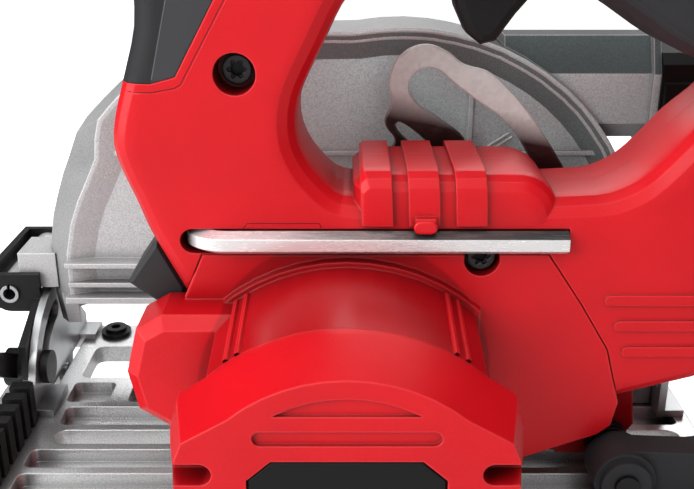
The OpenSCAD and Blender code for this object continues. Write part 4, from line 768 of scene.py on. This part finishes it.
def rubber_wrap():
    """Rubber moulded round the rear grip, over the shell's bare loop wall and edges."""
    for node in ("handle_left", "handle_right"):
        mesh = bmesh.new()
        mesh.from_mesh(NODES[node].data)
        bmesh.ops.remove_doubles(mesh, verts=mesh.verts, dist=1e-6)
        for (xa, za), (xb, zb) in zip(REAR_WRAP, REAR_WRAP[1:]):
            bmesh.ops.bisect_plane(mesh, geom=mesh.verts[:] + mesh.edges[:] + mesh.faces[:], dist=1e-6,
                                   plane_co=(xa * MM, 0, za * MM), plane_no=(zb - za, 0, xa - xb))
        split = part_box(node)[1][1] if node == "handle_left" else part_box(node)[0][1]
        out = []
        for face in mesh.faces:
            c = face.calc_center_median()
            if not inside(c.x / MM, c.z / MM, REAR_WRAP) or abs(c.y - split) < 0.4 * MM:
                out.append(face)
        bmesh.ops.delete(mesh, geom=out, context="FACES")
        data = bpy.data.meshes.new(f"rubber_wrap_{node}")
        mesh.to_mesh(data)
        mesh.free()
        o = piece(f"rubber_wrap_{node}", data, node, "grip_rubber")
        thick = o.modifiers.new("rubber", "SOLIDIFY")
        thick.thickness, thick.offset = 0.35 * MM, 1.0
        shade_bevels(o, CRISP)


def moulded_lines():
    """Parting groove round the front overmould, its facet line, and the clip pocket over the wrench; the dark
    red beads paint shade in the grooves, the lighter red and grey beads paint highlights.
    """
    seam("overmould_groove", "handle_left", GROOVE)
    seam("overmould_rim", "handle_left", [(x + 0.55, z - 0.55) for x, z in GROOVE], 0.5, 0.12, "red_gloss")
    seam("overmould_facet", "front_grip_skin", CREASE, 0.5, 0.12, "grip_edge")
    seam("clip_pocket", "handle_left", POCKET)
    seam("clip_bar", "handle_left", POCKET_BAR, 1.6, 0.5, "red_gloss")
    start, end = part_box("motor_cap")[1][1] + 0.3 * MM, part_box("handle_left")[0][1]
    for i, angle in enumerate((38, 43, 137, 142)):
        axial_rib(f"barrel_rib_{i}", "motor_housing", start, end, angle, 1.6, 0.9, "red_shell")


def guard_lines():
    """Twin bead along the guard's rim and the slanting double rib, on the motor side, in a near-white finish
    that paints their highlights.
    """
    find = surface_finder("upper_guard")
    x, z = ARBOR[0], ARBOR[2]
    rim_y = 44.5 * MM
    rim = []
    for angle in range(28, 127, 2):
        c, s = math.cos(math.radians(angle)), math.sin(math.radians(angle))
        for quarter in range(560, 330, -1):
            r = quarter * 0.25 * MM
            if (find(x + r * c, z + r * s) or 1) < rim_y:
                rim.append((r / MM, c, s))
                break
    for tag, inset in (("outer", 1.1), ("inner", 3.9)):
        line = [(x / MM + (r - inset) * c, z / MM + (r - inset) * s) for r, c, s in rim]
        seam(f"guard_rim_{tag}", "upper_guard", line, 1.3, 0.6, "painted_highlight_bead")
    for i, (dx, dz) in enumerate(((0, 0), (-1.4, 1.4))):
        rib = [(56.3 + dx, 111.4 + dz), (66.3 + dx, 117.9 + dz)]
        seam(f"guard_rib_{i}", "upper_guard", rib, 1.1, 0.7, "painted_highlight_bead")


def blade_side():
    """Rim bead and cover screws on the guard's blade side."""
    find = surface_finder("upper_guard", 1)
    x, z = ARBOR[0], ARBOR[2]

    def level(a, r):
        return find(x + r * MM * math.cos(a), z + r * MM * math.sin(a))

    face = level(math.pi / 2, 60)
    rim, inset = [], 5
    for angle in range(5, 176, 3):
        a = math.radians(angle)
        r = next(r for r in range(110, 60, -1) if abs((level(a, r) or 0) - face) < 0.3 * MM)
        rim.append((x / MM + (r - inset) * math.cos(a), z / MM + (r - inset) * math.sin(a)))
    seam("guard_rim_bead", "upper_guard", rim, 2.4, 1.0, "guard_cast", 1)
    circle = 68 * MM
    for i, angle in enumerate((28, 66, 114, 152)):
        a = math.radians(angle)
        middle = (x + circle * math.cos(a), z + circle * math.sin(a))
        star_head(f"cover_screw_{i}", "upper_guard", middle, 4.2 * MM, 2.2 * MM, 0.22,
                  (face - 0.2 * MM, face + 1.4 * MM), 0.4 * MM)


def battery_trim():
    """Parting line and grip ribs on both sides of the battery pack."""
    low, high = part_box("battery_case")
    parting_z, margin = high[2] / MM - 26, 5
    parting = [(low[0] / MM + margin, parting_z), (high[0] / MM - margin, parting_z)]
    rib_x, rib_z, pitch = high[0] / MM - 28, low[2] / MM + 12, 5
    width, height, lift = 2.4, 26, 0.7 * MM
    for tag, y, side in (("left", low[1], -1), ("right", high[1], 1)):
        # painted shade: the parting line in a dark copy of the red
        seam(f"battery_seam_{tag}", "battery_case", parting, 0.9, 0.3, "red_groove_shade", side)
        for k in range(4):
            x = rib_x + pitch * k
            rib = rounded_box(x, rib_z, x + width, rib_z + height, 1.1)
            name = f"battery_rib_{tag}_{k}"
            piece(name, plate(name, [rib], y - lift, y + lift, 0.3 * MM), "battery_case", "red_shell")


def clip_cap():
    """Rounded nose on the clip that holds the wrench."""
    low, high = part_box("handle_left")
    x, z, half, radius, count = 25.3, 109.9, 1.6, 2.3, 24
    outline = []
    for i in range(count):
        a = 2 * math.pi * (i + 0.5) / count
        outline.append(((x + math.copysign(half, math.cos(a)) + radius * math.cos(a)) * MM,
                        (z + radius * math.sin(a)) * MM))
    mesh = plate("clip_cap", [outline], low[1] - 0.6 * MM, low[1] + 1.5 * MM, 0.8 * MM)
    # the nose in the lighter red of a painted highlight
    piece("clip_cap", mesh, "handle_left", "red_gloss")


def star_sockets():
    """Six-lobed socket faces on the screw heads that face the motor side."""
    for node in ("handle_screws", "dust_adapter_screw"):
        for i, (low, high) in enumerate(solids(node)):
            middle, radius = ((low[0] + high[0]) / 2, (low[2] + high[2]) / 2), (high[0] - low[0]) / 2
            star_head(f"star_{node}_{i}", node, middle, radius * 0.94, radius * 0.52, 0.24,
                      (low[1] - 0.8 * MM, low[1]), 0.3 * MM)


# ---------- studio ----------

TARGET = (0, 0, 0.1)
# name, place in metres, width and height, watts; each looks at the target
LIGHTS = [
    ("key_left", (-0.95, -0.9, 0.75), (0.8, 0.8), 13.5),
    ("front", (0.1, -1.4, 0.45), (0.7, 0.7), 2.4),
    ("front_high", (0.0, -0.7, 1.1), (0.8, 0.4), 2.2),
    ("top", (-0.1, -0.1, 1.3), (1.1, 0.8), 6.2),
    ("left", (-1.3, -0.35, 0.35), (0.3, 0.8), 5.2),
    ("right_strip", (1.1, -0.5, 0.6), (0.25, 0.8), 0.5),
    ("back_top", (0.1, 1.0, 0.8), (1.2, 0.5), 5.5),
]
WORLD = 0.085
# the photograph's width and the lens's focal length, both in pixels, and the view down
PHOTO_WIDTH, FOCAL, DOWN = 694, 950, 21
SENSOR = 36.0
CAMERA = (0, -0.325, 0.214)
FLOOR_HALF, FLOOR_GAP = 8.0, 0.4 * MM


def floor():
    """Pale floor: white to the camera, greyer in reflections, and it takes the saw's shadow."""
    g = Graph("floor_white")
    g.put("Base Color", g.mix(g.ramp(g.noise(6), 0.3, 0.7), (0.9, 0.9, 0.9), (0.93, 0.93, 0.93)))
    g.put("Roughness", 0.8)
    g.put("Specular IOR Level", 0.1)
    glow = g.add("ShaderNodeEmission")
    glow.inputs["Color"].default_value = (1, 1, 1, 1)
    glow.inputs["Strength"].default_value = 0.95
    both = g.add("ShaderNodeAddShader")
    pick = g.add("ShaderNodeMixShader")
    dim = g.add("ShaderNodeMixShader")
    dull = g.add("ShaderNodeBsdfDiffuse")
    dull.inputs["Color"].default_value = (0.7, 0.7, 0.7, 1)
    out = g.tree.nodes["Material Output"]
    g.link(g.bsdf.outputs[0], both.inputs[0])
    g.link(glow.outputs[0], both.inputs[1])
    ray = g.add("ShaderNodeLightPath")
    g.link(ray.outputs["Is Glossy Ray"], dim.inputs[0])
    g.link(g.bsdf.outputs[0], dim.inputs[1])
    g.link(dull.outputs[0], dim.inputs[2])
    g.link(ray.outputs["Is Camera Ray"], pick.inputs[0])
    g.link(dim.outputs[0], pick.inputs[1])
    g.link(both.outputs[0], pick.inputs[2])
    g.link(pick.outputs[0], out.inputs["Surface"])
    mesh = bpy.data.meshes.new("floor")
    half, low = FLOOR_HALF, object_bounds()[0][2] - FLOOR_GAP
    mesh.from_pydata([(-half, -half, low), (half, -half, low), (half, half, low), (-half, half, low)],
                     [], [(0, 1, 2, 3)])
    o = bpy.data.objects.new("floor", mesh)
    o.data.materials.append(g.mat)
    bpy.context.scene.collection.objects.link(o)
    o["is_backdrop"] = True


def area_light(name, place, size, power):
    """Soft rectangular light that looks at the target."""
    data = bpy.data.lights.new(name, "AREA")
    data.shape = "RECTANGLE"
    data.size, data.size_y = size
    data.energy = power
    o = bpy.data.objects.new(name, data)
    o.location = place
    o.rotation_euler = (Vector(TARGET) - Vector(place)).to_track_quat("-Z", "Y").to_euler()
    bpy.context.scene.collection.objects.link(o)


def studio():
    """Dim sky that brightens upwards, white to the camera, and the lights."""
    world = bpy.data.worlds.new("studio")
    bpy.context.scene.world = world
    world.use_nodes = True
    tree = world.node_tree
    background = tree.nodes["Background"]
    where = tree.nodes.new("ShaderNodeTexCoord")
    split = tree.nodes.new("ShaderNodeSeparateXYZ")
    sky = tree.nodes.new("ShaderNodeValToRGB")
    tree.links.new(where.outputs["Generated"], split.inputs[0])
    tree.links.new(split.outputs["Z"], sky.inputs[0])
    tree.links.new(sky.outputs[0], background.inputs["Color"])
    stops = sky.color_ramp.elements
    stops[0].position, stops[0].color = 0.0, (0.16, 0.16, 0.17, 1)
    stops[1].position, stops[1].color = 0.75, (0.95, 0.96, 1.0, 1)
    middle = stops.new(0.25)
    middle.color = (0.4, 0.41, 0.43, 1)
    background.inputs["Strength"].default_value = WORLD
    white = tree.nodes.new("ShaderNodeBackground")
    white.inputs["Color"].default_value = (1, 1, 1, 1)
    ray = tree.nodes.new("ShaderNodeLightPath")
    pick = tree.nodes.new("ShaderNodeMixShader")
    tree.links.new(ray.outputs["Is Camera Ray"], pick.inputs[0])
    tree.links.new(background.outputs[0], pick.inputs[1])
    tree.links.new(white.outputs[0], pick.inputs[2])
    tree.links.new(pick.outputs[0], tree.nodes["World Output"].inputs["Surface"])
    for light in LIGHTS:
        area_light(*light)


def camera():
    """The photograph's viewpoint."""
    data = bpy.data.cameras.new("photo_camera")
    data.sensor_width = SENSOR
    data.lens = SENSOR * FOCAL / PHOTO_WIDTH
    data.clip_start, data.clip_end = 0.02, 40
    o = bpy.data.objects.new("photo_camera", data)
    o.location = CAMERA
    o.rotation_euler = (math.radians(90 - DOWN), 0, 0)
    bpy.context.scene.collection.objects.link(o)
    bpy.context.scene.camera = o


dress_nodes()
hook()
wrench()
star_sockets()
moulded_lines()
rubber_wrap()
clip_cap()
guard_lines()
blade_side()
battery_trim()
floor()
studio()
camera()
bpy.context.scene.view_settings.view_transform = "Standard"
